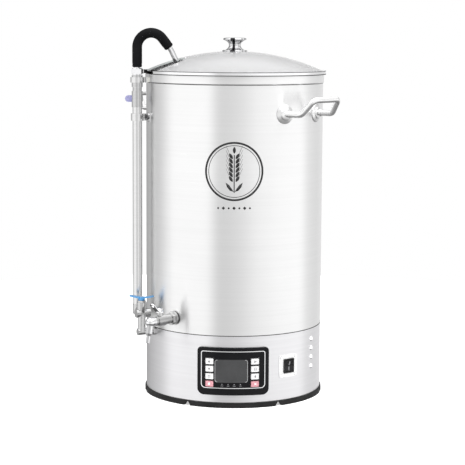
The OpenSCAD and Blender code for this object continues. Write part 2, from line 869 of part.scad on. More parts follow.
module tap_body() color(bright_steel) {
  body_r = 12.5;
  difference() {
    union() {
      at_tap(inner_r - 13) rotate([0, 90, 0]) cylinder(h = 30, r = 8.5);
      at_tap(kettle_r + 6) rotate([0, 90, 0]) linear_extrude(9) hex(25);
      at_tap(kettle_r + 15) rotate([0, 90, 0]) cylinder(h = 18, r = body_r - 1.5);
      at_tap(tap_stem_r - 12) rotate([0, 90, 0]) cylinder(h = 24, r = body_r);
      at_tap(tap_stem_r + 12) rotate([0, 90, 0])
        cylinder(h = tap_end_r - tap_stem_r - 20, r = body_r - 2);
      at_tap(tap_stem_r) cylinder(h = 17, r = 6.5);
    }
    at_tap(inner_r - 20) rotate([0, 90, 0]) cylinder(h = 120, r = tap_bore);
    at_tap(tap_stem_r) sphere(tap_ball_r + fit_gap);
    at_tap(tap_stem_r) cylinder(h = 40, r = tap_stem_d / 2 + fit_gap);
  }
}

module tap_ball() color(bright_steel) {
  difference() {
    union() {
      at_tap(tap_stem_r) sphere(tap_ball_r);
      at_tap(tap_stem_r) cylinder(h = tap_stem_top - tap_z + 5, r = tap_stem_d / 2);
      at_tap(tap_stem_r, tap_stem_top - tap_z) linear_extrude(5.5) hex(11);
    }
    at_tap(tap_stem_r - 20) rotate([0, 90, 0]) cylinder(h = 40, r = tap_bore);
  }
}

module tap_lever() color(bright_steel) {
  lever_w = 13;
  lever_t = 2.4;
  difference() {
    union() {
      at_tap(tap_stem_r, tap_stem_top - tap_z - 4) cylinder(h = 3.6, r = 9);
      at_tap(tap_stem_r + 5.4, tap_stem_top - tap_z - 3)
        rotate([0, -lever_rise, 0])
          translate([0, 0, -lever_t / 2]) linear_extrude(lever_t) {
            translate([0, -lever_w / 2]) square([lever_len - eye_d / 2, lever_w]);
            translate([lever_len - eye_d / 2, 0]) circle(eye_d / 2);
          }
    }
    at_tap(tap_stem_r + 5.4, tap_stem_top - tap_z - 3)
      rotate([0, -lever_rise, 0])
        translate([lever_len - eye_d / 2, 0, -4]) cylinder(h = 8, r = 3.6);
    at_tap(tap_stem_r, tap_stem_top - tap_z - 10)
      cylinder(h = 14, r = tap_stem_d / 2 + seat_gap);
  }
}

module tap_spout() color(bright_steel) {
  foot = tap_end_r + 2;
  low = spout_len;
  difference() {
    union() {
      at_tap(tap_end_r - 8) rotate([0, 90, 0]) cylinder(h = 10, r = 11);
      at_tap(foot) sphere(11);
      at_tap(foot) rotate([spout_turn, 0, 0]) rotate([0, 180 - spout_lean, 0]) {
        cylinder(h = low * 0.55, r = spout_root_d / 2);
        translate([0, 0, low * 0.55]) cylinder(h = 5, r1 = spout_root_d / 2, r2 = spout_tip_d / 2);
        cylinder(h = low, r = spout_tip_d / 2);
      }
    }
    at_tap(foot - 30) rotate([0, 90, 0]) cylinder(h = 30, r = tap_bore);
    at_tap(foot) rotate([spout_turn, 0, 0]) rotate([0, 180 - spout_lean, 0]) cylinder(h = low + eps, r = 3.2);
  }
}

// --- control panel ---

module button_plan(side, g = 0) {
  translate([button_xs[side], 0])
    rounded(button_w + 2 * g, button_h + 2 * g, 1.5, 1.5);
}

module panel_bezel() color(black) {
  frame_w = 141;
  frame_h = 83;
  difference() {
    union() {
      skin(0, panel_z, kettle_r + seat_gap, panel_r, panel_h) rounded(panel_w, panel_h, 9, 14);
      skin(0, panel_z, kettle_r - bezel_back, kettle_r + 1, panel_h)
        rounded(panel_w - 13, panel_h - 13, 6, 10);
      for (x = [-64, 64], z = [-40, 38])
        translate([x, -board_y, panel_z + z])
          rotate([90, 0, 0]) cylinder(h = 0.07 * kettle_r, r = 3);
    }
    outward(0, window_z, board_y, panel_r + eps)
      translate([window_x, 0])
        rounded(display_w + 2 * seat_gap, display_h + 2 * seat_gap, 5, 5);
    for (side = [0, 1], row = [0:3])
      outward(0, button_zs[row], board_y, panel_r + eps) button_plan(side, part_gap);
    for (side = [0, 1], row = [0:3])
      outward(0, button_zs[row], board_y, kettle_r + 0.6) button_plan(side, 1.5);
    skin(0, panel_z + 3.5, panel_r - trim_t, panel_r + eps, panel_h) difference() {
      rounded(frame_w, frame_h, 5, 9);
      rounded(frame_w - 2 * trim_w, frame_h - 2 * trim_w, 4, 8);
    }
  }
}

module panel_trim() color(bright_steel) {
  frame_w = 141;
  frame_h = 83;
  skin(0, panel_z + 3.5, panel_r - trim_t + seat_gap, panel_r + 0.3, panel_h) difference() {
    rounded(frame_w - 0.1, frame_h - 0.1, 5, 9);
    rounded(frame_w - 2 * trim_w + 0.1, frame_h - 2 * trim_w + 0.1, 4, 8);
  }
}

module display_window() color(window_grey) {
  skin(0, window_z, kettle_r - 1, panel_r + 0.4, display_h)
    translate([window_x, 0]) rounded(display_w, display_h, 5, 5);
}

// circuit board with its display and eight key switches
module control_board() color(board_green) {
  translate([-board_w / 2, -board_y, panel_z - board_h / 2]) cube([board_w, board_t, board_h]);
  translate([window_x - display_w / 2 + 3, -board_y - display_depth, window_z - display_h / 2 + 3])
    cube([display_w - 6, display_depth, display_h - 6]);
  for (side = [0, 1], row = [0:3]) {
    x = button_xs[side];
    reach = sqrt(pow(kettle_r - 0.6, 2) - x * x) - button_travel - 1.4;
    translate([x, -board_y, button_zs[row]])
      rotate([90, 0, 0]) cylinder(h = reach - board_y - button_flange_t, r = 2.5);
  }
}

module panel_button(side, row) {
  skin(0, button_zs[row], kettle_r - 0.6, panel_r + 0.9, 20) button_plan(side);
  skin(0, button_zs[row], kettle_r - 0.6 - button_flange_t, kettle_r + 0.3, 20)
    button_plan(side, 1.1);
}

module button_left_1() color(button_white) panel_button(0, 0);
module button_left_2() color(button_white) panel_button(0, 1);
module button_left_3() color(button_white) panel_button(0, 2);
module button_left_4() color(button_red) panel_button(0, 3);
module button_right_1() color(button_white) panel_button(1, 0);
module button_right_2() color(button_white) panel_button(1, 1);
module button_right_3() color(button_white) panel_button(1, 2);
module button_right_4() color(button_red) panel_button(1, 3);

// --- power switch and inlet ---

module switch_plate() color(pale_plate) {
  difference() {
    skin(switch_az, switch_z, kettle_r + seat_gap, kettle_r + plate_t, plate_s)
      rounded(plate_s, plate_s, 4, 4);
    outward(switch_az, switch_z, kettle_r - 6, kettle_r + 9)
      square([switch_w - 2 + 2 * seat_gap, switch_h - 2 + 2 * seat_gap], center = true);
  }
}

module switch_body() color(black) {
  front = kettle_r + plate_t;
  difference() {
    union() {
      outward(switch_az, switch_z, front + seat_gap, front + 2)
        rounded(switch_w, switch_h, 2, 2);
      outward(switch_az, switch_z, front - 24, front + 1)
        square([switch_w - 2, switch_h - 2], center = true);
      for (z = [-9, 0, 9])
        outward(switch_az, switch_z, front - 32, front - 23) translate([0, z])
          square([6, 1], center = true);
    }
    outward(switch_az, switch_z, front - 10, front + 9)
      square([rocker_w + 2 * part_gap, rocker_h + 2 * part_gap], center = true);
    at_az(switch_az, front - 4, switch_z)
      rotate([90, 0, 0]) cylinder(h = switch_w, r = 1.2 + fit_gap, center = true);
  }
}

// rocker on its pivot, tilted to the off side
module switch_rocker() color(black) {
  front = kettle_r + plate_t;
  tip = 5.2;
  intersection() {
    at_az(switch_az, front - 4, switch_z) rotate([90, 0, 0])
      linear_extrude(rocker_w, center = true) polygon([
        [2, -rocker_h / 2 + 1.2],
        [tip * 0.85 + 0.6, -rocker_h / 2 + 1.2],
        [tip + 0.2, 0],
        [tip + 3.4, rocker_h / 2 - 1.2],
        [4.6, rocker_h / 2 - 1.2],
        [-1.5, 4],
        [-3, 0],
        [-1.5, -4]
      ]);
    outward(switch_az, switch_z, front - 12, front + 12)
      square([rocker_w, rocker_h], center = true);
  }
  at_az(switch_az, front - 4, switch_z)
    rotate([90, 0, 0]) cylinder(h = rocker_w + 2, r = 1.2, center = true);
}

// small screws: four on the switch plate, two on the riser's clamp
module screws() color(bright_steel) {
  at_corner = plate_s / 2 - 5;
  for (y = [-1, 1], z = [-1, 1]) {
    turn = asin(y * at_corner / kettle_r);
    at_az(switch_az + turn, kettle_r + plate_t + seat_gap, switch_z + z * at_corner)
      rotate([0, 90, 0]) cylinder(h = 1.4, r = 3);
  }
  for (dz = [-1, 1])
    at_az(riser_az + 5.6, kettle_r + 2, clamp_z + dz * 5.5)
      rotate([0, 90, 0]) cylinder(h = 3, r = 3.4);
}

module power_inlet() color(black) {
  socket_w = 25;
  socket_h = 17;
  difference() {
    union() {
      skin(180, inlet_z, kettle_r + 4 * seat_gap, kettle_r + 3, inlet_h) rounded(inlet_w, inlet_h, 5, 5);
      outward(180, inlet_z, kettle_r - 26, kettle_r + 1)
        square([inlet_w - 15, inlet_h - 3], center = true);
    }
    outward(180, inlet_z, kettle_r - 18, kettle_r + 9)
      square([socket_w, socket_h], center = true);
  }
  for (x = [-7, 0, 7])
    outward(180, inlet_z, kettle_r - 20, kettle_r - 6)
      translate([x, x == 0 ? 3 : -2]) square([2, 4], center = true);
}

// --- lid ---

module lid_glass() color(clear_glass) {
  difference() {
    dome_shell(0, glass_t, glass_r);
    translate([0, 0, rim_z - 20]) linear_extrude(200) notch_plan(notch_band);
    translate([0, 0, dome_top - 20]) cylinder(h = 40, r = knob_screw_d / 2 + 0.5);
  }
}

module lid_rim() color(bright_steel) {
  lip_in = glass_r - 5;
  skirt_r = kettle_r - 4.5;
  difference() {
    union() {
      translate([0, 0, rim_z]) linear_extrude(lid_rim_h) difference() {
        circle(lid_r);
        circle(lip_in);
        notch_plan();
      }
      translate([0, 0, rim_z - 6]) linear_extrude(6 + 3) difference() {
        circle(skirt_r);
        circle(skirt_r - 1.2);
        notch_plan(notch_band);
      }
      translate([0, 0, rim_z]) linear_extrude(3) difference() {
        circle(lip_in + 1);
        circle(skirt_r - 1.2);
        notch_plan();
      }
      intersection() {
        dome_shell(1.2, glass_t + 1.2, lid_r);
        translate([0, 0, rim_z]) linear_extrude(100) difference() {
          circle(lip_in + 1);
          rotate([0, 0, riser_az + 90]) translate([-lid_r - notch_in + 8, -lid_r])
            square([lid_r, 2 * lid_r]);
          notch_plan();
        }
        translate([0, 0, rim_z]) linear_extrude(100) notch_plan(notch_band + 3);
      }
    }
    difference() {
      dome_shell(seat_gap, glass_t + seat_gap, glass_r + seat_gap);
      translate([0, 0, rim_z - 20]) linear_extrude(200) notch_plan(notch_band - seat_gap);
    }
  }
}

module lid_knob() color(bright_steel) {
  waist_d = 27;
  top_d = 53;
  base_t = 3;
  cap_t = 6;
  steps = 8;
  span = knob_h - base_t - cap_t;
  side = [for (i = [0:steps])
    let (t = i / steps)
    [waist_d / 2 + (t < 0.5 ? 7 : 9) * pow(abs(2 * t - 1), 2.4), base_t + t * span]];
  foot_z = dome_z + sqrt(dome_r * dome_r - knob_d * knob_d / 4) + seat_gap;
  difference() {
    translate([0, 0, foot_z]) rotate_extrude() polygon(concat(
      [[0, 0], [knob_d / 2, 0], [knob_d / 2, base_t - 1], [knob_d / 2 - 1, base_t]],
      side,
      [
        [top_d / 2, knob_h - cap_t + 1.5],
        [top_d / 2, knob_h - 2.5],
        [top_d / 2 - 3, knob_h - 1],
        [top_d / 2 - 8, knob_h],
        [0, knob_h]
      ]
    ));
    translate([0, 0, dome_z]) sphere(dome_r + seat_gap);
    translate([0, 0, foot_z - 5]) cylinder(h = 17, r = knob_screw_d / 2 + seat_gap);
  }
}

module knob_screw() color(bright_steel) {
  under = dome_top - glass_t;
  translate([0, 0, under - 1.5]) cylinder(h = glass_t + 11, r = knob_screw_d / 2);
  translate([0, 0, under - 2]) cylinder(h = 1.8, r = 11);
  translate([0, 0, under - 6]) cylinder(h = 4.2, r = 6);
}

// --- side handles ---

module side_handle(a) {
  half = handle_span / 2;
  top = [chord_r + leg_out + rise_out, half - rise_in, rise_up];
  knee = [chord_r + leg_out, half, 0];
  at_az(a, 0, handle_z) {
    difference() {
      union() {
        bent_rod([
          [chord_r, half, 0],
          knee,
          top,
          [top.x, -top.y, top.z],
          [knee.x, -knee.y, knee.z],
          [chord_r, -half, 0]
        ], [14, 14, 14, 14], handle_rod / 2, first = [0, 0, 1]);
        for (s = [-1, 1])
          rotate([0, 0, s * leg_az]) translate([kettle_r - 2, 0, 0]) rotate([0, 90, 0]) {
            cylinder(h = 4.5, r = flange_d / 2);
            cylinder(h = 9, r = boss_d / 2);
          }
      }
      translate([0, 0, -flange_d]) cylinder(h = 2 * flange_d, r = kettle_r + seat_gap);
    }
  }
}

module handle_right() color(bright_steel) side_handle(handle_az);
module handle_left() color(bright_steel) side_handle(handle_az + 180);

// --- grain basket ---

module hole_rings(r1, step, count, d, h) {
  for (k = [0:count - 1]) {
    r = r1 + k * step;
    n = 6 * round(r / 20);
    for (i = [0:n - 1]) rotate([0, 0, i * 360 / n]) translate([r, 0, 0]) cylinder(h = h, d = d);
  }
}

module malt_pipe() color(steel) {
  difference() {
    rotate_extrude() polygon([
      [overflow_d / 2 - 2, basket_z],
      [basket_r, basket_z],
      [basket_r, basket_top - bead_h],
      [basket_r + bead_out, basket_top - bead_h],
      [basket_r + bead_out, basket_top],
      [basket_r - basket_t, basket_top],
      [basket_r - basket_t, basket_z + basket_t],
      [overflow_d / 2 - 2, basket_z + basket_t]
    ]);
    translate([0, 0, basket_z - eps]) hole_rings(40, 30, 5, 6, 5);
    for (s = [0, 180])
      at_az(bail_az + s, basket_r - 8, bail_z)
        rotate([0, 90, 0]) cylinder(h = 16, r = bail_d / 2 + fit_gap);
  }
  for (a = [60, 180, 300])
    at_az(a, basket_r - 14, floor_z) cylinder(h = basket_foot + basket_t / 2, r = 6);
}

module top_screen() color(steel) {
  at_r = basket_r - basket_t - 1.5;
  difference() {
    union() {
      translate([0, 0, screen_z]) cylinder(h = screen_t, r = at_r);
      translate([0, 0, screen_z]) cylinder(h = 8, r = overflow_d / 2 + 4);
    }
    translate([0, 0, screen_z - eps]) {
      cylinder(h = 20, r = overflow_d / 2 + fit_gap);
      hole_rings(40, 30, 4, 6, 5);
    }
  }
}

module overflow_pipe() color(bright_steel) {
  wall = 1.2;
  difference() {
    union() {
      translate([0, 0, basket_z + basket_t])
        cylinder(h = overflow_top - basket_z - basket_t, r = overflow_d / 2);
      translate([0, 0, basket_z + basket_t]) linear_extrude(7) hex(34);
      translate([0, 0, screen_z - 4 - part_gap]) cylinder(h = 4, r = overflow_d / 2 + 3);
    }
    translate([0, 0, basket_z - eps]) cylinder(h = 600, r = overflow_d / 2 - wall);
  }
}

// half hoop that lies on its side, with a pin through each side of the basket
module malt_bail() color(bright_steel) {
  pin = basket_r + 2 - bail_r;
  rotate([0, 0, bail_az - 90]) translate([0, 0, bail_z]) {
    rotate_extrude(angle = 180) translate([bail_r, 0]) circle(bail_d / 2);
    for (s = [-1, 1])
      translate([s * (bail_r - bail_d / 2 + pin / 2 + 1.5), 0, 0])
        rotate([0, 90, 0]) cylinder(h = pin + bail_d - 1, r = bail_d / 2, center = true);
  }
}

foot_ring();
base_plate();
base_shell();
kettle_shell();
kettle_bottom();
heating_rings();
temperature_probe();
sump_filter();
pump_body();
pump_rotor();
pump_hoses();
outlet_elbow();
lower_valve_body();
lower_valve_stem();
lower_valve_handle();
riser_foot();
riser_pipe();
riser_clamp();
rim_hook();
rim_pad();
upper_valve_body();
upper_valve_stem();
upper_valve_handle();
riser_top();
union_nut();
arm_tube();
arm_sleeve();
tap_nuts();
tap_gasket();
tap_body();
tap_ball();
tap_lever();
tap_spout();
panel_bezel();
panel_trim();
display_window();
control_board();
button_left_1();
button_left_2();
button_left_3();
button_left_4();
button_right_1();
button_right_2();
button_right_3();
button_right_4();
switch_plate();
switch_body();
switch_rocker();
screws();
power_inlet();
lid_glass();
lid_rim();
lid_knob();
knob_screw();
handle_right();
handle_left();
malt_pipe();
top_screen();
overflow_pipe();
malt_bail();
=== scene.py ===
import bpy
import bmesh
import json
import math
from mathutils import Matrix, Vector


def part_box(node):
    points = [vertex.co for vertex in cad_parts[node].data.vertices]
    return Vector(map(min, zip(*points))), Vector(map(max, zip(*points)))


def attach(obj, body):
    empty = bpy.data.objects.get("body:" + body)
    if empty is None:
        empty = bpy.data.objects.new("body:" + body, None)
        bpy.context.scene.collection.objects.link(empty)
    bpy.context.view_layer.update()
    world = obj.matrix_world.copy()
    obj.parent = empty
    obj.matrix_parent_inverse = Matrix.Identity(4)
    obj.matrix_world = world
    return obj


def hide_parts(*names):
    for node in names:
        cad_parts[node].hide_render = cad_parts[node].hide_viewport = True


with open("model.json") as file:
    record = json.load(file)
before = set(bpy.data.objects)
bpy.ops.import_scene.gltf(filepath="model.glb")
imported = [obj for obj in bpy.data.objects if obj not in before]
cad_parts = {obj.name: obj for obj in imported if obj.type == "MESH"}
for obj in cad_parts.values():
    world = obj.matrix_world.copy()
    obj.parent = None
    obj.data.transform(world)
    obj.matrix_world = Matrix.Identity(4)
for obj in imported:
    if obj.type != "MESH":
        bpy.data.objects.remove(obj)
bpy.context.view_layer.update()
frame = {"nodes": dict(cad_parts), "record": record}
nodes = frame["nodes"]
bodyOfNode = {n: b for b, names in frame["record"]["behaviour"]["bodies"].items() for n in names}
print("frame loaded:", len(nodes), "nodes")

# camera
camera = {"place": (-0.003, -3.590, 0.829), "pitchDown": 7.4, "roll": 0.32, "lens": 122.3}
cameraData = bpy.data.cameras.new("studioCamera")
cameraData.lens = camera["lens"]
cameraData.sensor_width = 36
cameraObject = bpy.data.objects.new("studioCamera", cameraData)
bpy.context.scene.collection.objects.link(cameraObject)
cameraObject.matrix_world = (
    Matrix.Translation(camera["place"])
    @ Matrix.Rotation(math.radians(90 - camera["pitchDown"]), 4, "X")
    @ Matrix.Rotation(math.radians(camera["roll"]), 4, "Z")
)
bpy.context.scene.camera = cameraObject

# sizes taken from the frame
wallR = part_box("base_shell")[1].x  # outside of the wall and base
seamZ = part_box("base_shell")[1].z
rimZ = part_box("kettle_shell")[1].z
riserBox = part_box("riser_pipe")
riserXY = Vector(((riserBox[0].x + riserBox[1].x) / 2, (riserBox[0].y + riserBox[1].y) / 2))
riserAz = math.degrees(math.atan2(riserXY.x, -riserXY.y))
riserR = riserXY.length


def atAz(az, r, z):
    a = math.radians(az)
    return Vector((r * math.sin(a), -r * math.cos(a), z))


def outOf(az):
    return atAz(az, 1, 0)


def alongWall(az):
    a = math.radians(az)
    return Vector((math.cos(a), math.sin(a), 0))


# node tree helpers
def newGroup(name, inputs, outputs):
    tree = bpy.data.node_groups.new(name, "ShaderNodeTree")
    for label, kind, value in inputs:
        socket = tree.interface.new_socket(label, in_out="INPUT", socket_type=kind)
        socket.default_value = value
    for label, kind in outputs:
        tree.interface.new_socket(label, in_out="OUTPUT", socket_type=kind)
    return tree, tree.nodes.new("NodeGroupInput"), tree.nodes.new("NodeGroupOutput")


def link(tree, a, b):
    tree.links.new(a, b)


def math2(tree, op, a, b, clamp=False):
    node = tree.nodes.new("ShaderNodeMath")
    node.operation = op
    node.use_clamp = clamp
    for i, v in enumerate((a, b)):
        if v is None:
            continue
        if isinstance(v, (int, float)):
            node.inputs[i].default_value = v
        else:
            link(tree, v, node.inputs[i])
    return node.outputs[0]


def ramp(tree, value, low, high, outLow=0.0, outHigh=1.0):
    node = tree.nodes.new("ShaderNodeMapRange")
    link(tree, value, node.inputs["Value"])
    for label, v in (("From Min", low), ("From Max", high), ("To Min", outLow), ("To Max", outHigh)):
        if isinstance(v, (int, float)):
            node.inputs[label].default_value = v
        else:
            link(tree, v, node.inputs[label])
    return node.outputs["Result"]


def noise(tree, vector, scale, detail=3.0, rough=0.5):
    node = tree.nodes.new("ShaderNodeTexNoise")
    node.inputs["Scale"].default_value = scale
    node.inputs["Detail"].default_value = detail
    node.inputs["Roughness"].default_value = rough
    link(tree, vector, node.inputs["Vector"])
    return node.outputs["Fac"]


def stretched(tree, scale):
    place = tree.nodes.new("ShaderNodeTexCoord")
    mapping = tree.nodes.new("ShaderNodeMapping")
    mapping.inputs["Scale"].default_value = scale
    link(tree, place.outputs["Object"], mapping.inputs["Vector"])
    return mapping.outputs["Vector"]


# brushed lines that run level round the kettle, with a slow drift in tone
def buildGrain():
    tree, gin, gout = newGroup(
        "brushedGrain",
        [("Fineness", "NodeSocketFloat", 1.0), ("Depth", "NodeSocketFloat", 0.2)],
        [("Height", "NodeSocketFloat"), ("Tone", "NodeSocketFloat"), ("Gloss", "NodeSocketFloat")],
    )
    place = tree.nodes.new("ShaderNodeTexCoord")
    scaled = tree.nodes.new("ShaderNodeVectorMath")
    scaled.operation = "SCALE"
    link(tree, place.outputs["Object"], scaled.inputs[0])
    link(tree, gin.outputs["Fineness"], scaled.inputs["Scale"])
    lines = []
    for scale in ((5, 5, 900), (11, 11, 2600), (2, 2, 240)):
        mapping = tree.nodes.new("ShaderNodeMapping")
        mapping.inputs["Scale"].default_value = scale
        link(tree, scaled.outputs["Vector"], mapping.inputs["Vector"])
        lines.append(noise(tree, mapping.outputs["Vector"], 1.0, 3.0, 0.6))
    both = math2(tree, "ADD", lines[0], lines[1])
    height = math2(tree, "MULTIPLY", both, gin.outputs["Depth"])
    link(tree, height, gout.inputs["Height"])
    link(tree, ramp(tree, lines[2], 0.3, 0.7, 0.0, 1.0), gout.inputs["Tone"])
    link(tree, ramp(tree, lines[0], 0.25, 0.75, 0.0, 1.0), gout.inputs["Gloss"])
    return tree


# faint wiped marks and finger smears that only change the gloss
def buildSmears():
    tree, gin, gout = newGroup(
        "wipedSmears",
        [("Size", "NodeSocketFloat", 6.0), ("Amount", "NodeSocketFloat", 0.5)],
        [("Mask", "NodeSocketFloat")],
    )
    place = tree.nodes.new("ShaderNodeTexCoord")
    big = tree.nodes.new("ShaderNodeTexNoise")
    big.inputs["Detail"].default_value = 4.0
    big.inputs["Distortion"].default_value = 0.8
    link(tree, place.outputs["Object"], big.inputs["Vector"])
    link(tree, gin.outputs["Size"], big.inputs["Scale"])
    mask = ramp(tree, big.outputs["Fac"], 0.42, 0.72)
    link(tree, math2(tree, "MULTIPLY", mask, gin.outputs["Amount"]), gout.inputs["Mask"])
    return tree


# bright rubbed edges
def buildEdgeWear():
    tree, gin, gout = newGroup(
        "edgeWear",
        [("Width", "NodeSocketFloat", 0.0008), ("Amount", "NodeSocketFloat", 0.6)],
        [("Mask", "NodeSocketFloat")],
    )
    bevel = tree.nodes.new("ShaderNodeBevel")
    bevel.samples = 4
    link(tree, gin.outputs["Width"], bevel.inputs["Radius"])
    plain = tree.nodes.new("ShaderNodeNewGeometry")
    dot = tree.nodes.new("ShaderNodeVectorMath")
    dot.operation = "DOT_PRODUCT"
    link(tree, bevel.outputs["Normal"], dot.inputs[0])
    link(tree, plain.outputs["Normal"], dot.inputs[1])
    edge = ramp(tree, dot.outputs["Value"], 0.98, 0.80)
    place = tree.nodes.new("ShaderNodeTexCoord")
    patchy = ramp(tree, noise(tree, place.outputs["Object"], 160.0, 3.0), 0.35, 0.6)
    worn = math2(tree, "MULTIPLY", edge, patchy)
    link(tree, math2(tree, "MULTIPLY", worn, gin.outputs["Amount"], True), gout.inputs["Mask"])
    return tree


# fine moulded texture for plastics and rubber
def buildPebble():
    tree, gin, gout = newGroup(
        "mouldedPebble",
        [("Scale", "NodeSocketFloat", 1400.0), ("Depth", "NodeSocketFloat", 0.3)],
        [("Height", "NodeSocketFloat"), ("Tone", "NodeSocketFloat")],
    )
    place = tree.nodes.new("ShaderNodeTexCoord")
    cells = tree.nodes.new("ShaderNodeTexVoronoi")
    link(tree, place.outputs["Object"], cells.inputs["Vector"])
    link(tree, gin.outputs["Scale"], cells.inputs["Scale"])
    height = math2(tree, "MULTIPLY", cells.outputs["Distance"], gin.outputs["Depth"])
    link(tree, height, gout.inputs["Height"])
    link(tree, ramp(tree, noise(tree, place.outputs["Object"], 22.0, 4.0), 0.3, 0.7), gout.inputs["Tone"])
    return tree


brushedGrain = buildGrain()
wipedSmears = buildSmears()
edgeWear = buildEdgeWear()
mouldedPebble = buildPebble()
print("node groups built")


def placeGroup(tree, group, **values):
    node = tree.nodes.new("ShaderNodeGroup")
    node.node_tree = group
    for label, v in values.items():
        node.inputs[label].default_value = v
    return node


def startMaterial(name, metallic=0.0, **fixed):
    mat = bpy.data.materials.new(name)
    mat.use_nodes = True
    tree = mat.node_tree
    shader = tree.nodes["Principled BSDF"]
    shader.inputs["Metallic"].default_value = metallic
    for label, v in fixed.items():
        shader.inputs[label].default_value = v
    return mat, tree, shader


def mixColour(tree, mask, a, b):
    node = tree.nodes.new("ShaderNodeMix")
    node.data_type = "RGBA"
    node.inputs[6].default_value = (*a, 1)
    node.inputs[7].default_value = (*b, 1)
    link(tree, mask, node.inputs[0])
    return node.outputs[2]


def bumpFrom(tree, shader, height, distance, strength):
    bump = tree.nodes.new("ShaderNodeBump")
    bump.inputs["Distance"].default_value = distance
    bump.inputs["Strength"].default_value = strength
    link(tree, height, bump.inputs["Height"])
    link(tree, bump.outputs["Normal"], shader.inputs["Normal"])


def grey(v):
    return (v, v, v)


grainDeep = 0.0002  # metres of relief at full strength


# stainless steel in several finishes
def makeSteel(name, tone, drift, rough, grain, fineness=1.0, smears=0.5, wear=0.0, smear=0.0):
    mat, tree, shader = startMaterial(
        name, 1.0, **{"Specular IOR Level": 0.5, "Anisotropic": smear, "Anisotropic Rotation": 0.25}
    )
    if smear > 0:
        tangent = tree.nodes.new("ShaderNodeTangent")
        tangent.direction_type = "RADIAL"
        tangent.axis = "Z"
        link(tree, tangent.outputs["Tangent"], shader.inputs["Tangent"])
    lines = placeGroup(tree, brushedGrain, Fineness=fineness, Depth=1.0)
    wiped = placeGroup(tree, wipedSmears, Size=5.0, Amount=smears)
    toneLow = tuple(c * (1 - drift) for c in tone)
    colour = mixColour(tree, lines.outputs["Tone"], toneLow, tone)
    if wear > 0:
        edge = placeGroup(tree, edgeWear, Width=0.0009, Amount=wear)
        lift = tree.nodes.new("ShaderNodeMix")
        lift.data_type = "RGBA"
        lift.inputs[7].default_value = (*grey(0.93), 1)
        link(tree, colour, lift.inputs[6])
        link(tree, edge.outputs["Mask"], lift.inputs[0])
        colour = lift.outputs[2]
    link(tree, colour, shader.inputs["Base Color"])
    both = math2(tree, "ADD", lines.outputs["Gloss"], wiped.outputs["Mask"])
    link(tree, ramp(tree, both, 0.0, 1.5, *rough), shader.inputs["Roughness"])
    bumpFrom(tree, shader, lines.outputs["Height"], grainDeep, grain)
    return mat


def makePlastic(
    name, low, high, rough, pebble, depth, wear=0.3, coat=0.0, wearColour=grey(0.3), specular=0.4
):
    mat, tree, shader = startMaterial(
        name, 0.0, **{"Coat Weight": coat, "Coat Roughness": 0.06, "Specular IOR Level": specular}
    )
    skin = placeGroup(tree, mouldedPebble, Scale=pebble, Depth=depth)
    edge = placeGroup(tree, edgeWear, Width=0.0007, Amount=wear)
    smear = placeGroup(tree, wipedSmears, Size=9.0, Amount=0.6)
    colour = mixColour(tree, skin.outputs["Tone"], low, high)
    lift = tree.nodes.new("ShaderNodeMix")
    lift.data_type = "RGBA"
    lift.inputs[7].default_value = (*wearColour, 1)
    link(tree, colour, lift.inputs[6])
    link(tree, edge.outputs["Mask"], lift.inputs[0])
    link(tree, lift.outputs[2], shader.inputs["Base Color"])
    link(tree, ramp(tree, smear.outputs["Mask"], 0.0, 0.6, *rough), shader.inputs["Roughness"])
    bumpFrom(tree, shader, skin.outputs["Height"], grainDeep, 0.25)
    return mat


def makeGlass(name, tint, rough, haze):
    mat, tree, shader = startMaterial(name, 0.0, **{"Transmission Weight": haze, "IOR": 1.25})
    smear = placeGroup(tree, wipedSmears, Size=7.0, Amount=0.5)
    colour = mixColour(tree, smear.outputs["Mask"], tint, tuple(c * 0.985 for c in tint))
    link(tree, colour, shader.inputs["Base Color"])
    link(tree, ramp(tree, smear.outputs["Mask"], 0.0, 0.5, rough, rough + 0.05), shader.inputs["Roughness"])
    return mat


# turned steel with a painted reflection: dark streaks in the base colour stand in for a dark card mirrored in the
# chrome, and run up and down between its flares
def makeReflectionStreaked(name, dark, light, roughLow, roughHigh):
    mat, tree, shader = startMaterial(name, 1.0)
    place = tree.nodes.new("ShaderNodeTexCoord")
    split = tree.nodes.new("ShaderNodeSeparateXYZ")
    link(tree, place.outputs["Object"], split.inputs[0])
    angle = math2(tree, "ARCTAN2", split.outputs["X"], math2(tree, "MULTIPLY", split.outputs["Y"], -1.0))
    third = math2(tree, "DIVIDE", angle, math.radians(120))  # the painted reflection streaks repeat three times round
    turns = math2(tree, "FRACT", math2(tree, "ADD", third, 0.58), 0.0)
    reflectionStreak = tree.nodes.new("ShaderNodeValToRGB")
    stops = [
        (0.0, 0.9), (0.06, 0.35), (0.12, 0.95), (0.37, 1.0), (0.41, 0.0),
        (0.57, 0.0), (0.61, 1.0), (0.84, 0.9), (0.90, 0.35), (0.96, 0.9),
    ]
    while len(reflectionStreak.color_ramp.elements) < len(stops):
        reflectionStreak.color_ramp.elements.new(0.5)
    for element, (at, v) in zip(reflectionStreak.color_ramp.elements, stops):
        element.position = at
        element.color = (v, v, v, 1)
    link(tree, turns, reflectionStreak.inputs["Fac"])
    colour = mixColour(tree, reflectionStreak.outputs["Color"], dark, light)
    link(tree, colour, shader.inputs["Base Color"])
    wiped = placeGroup(tree, wipedSmears, Size=9.0, Amount=0.5)
    link(tree, ramp(tree, wiped.outputs["Mask"], 0.0, 0.5, roughLow, roughHigh), shader.inputs["Roughness"])
    return mat


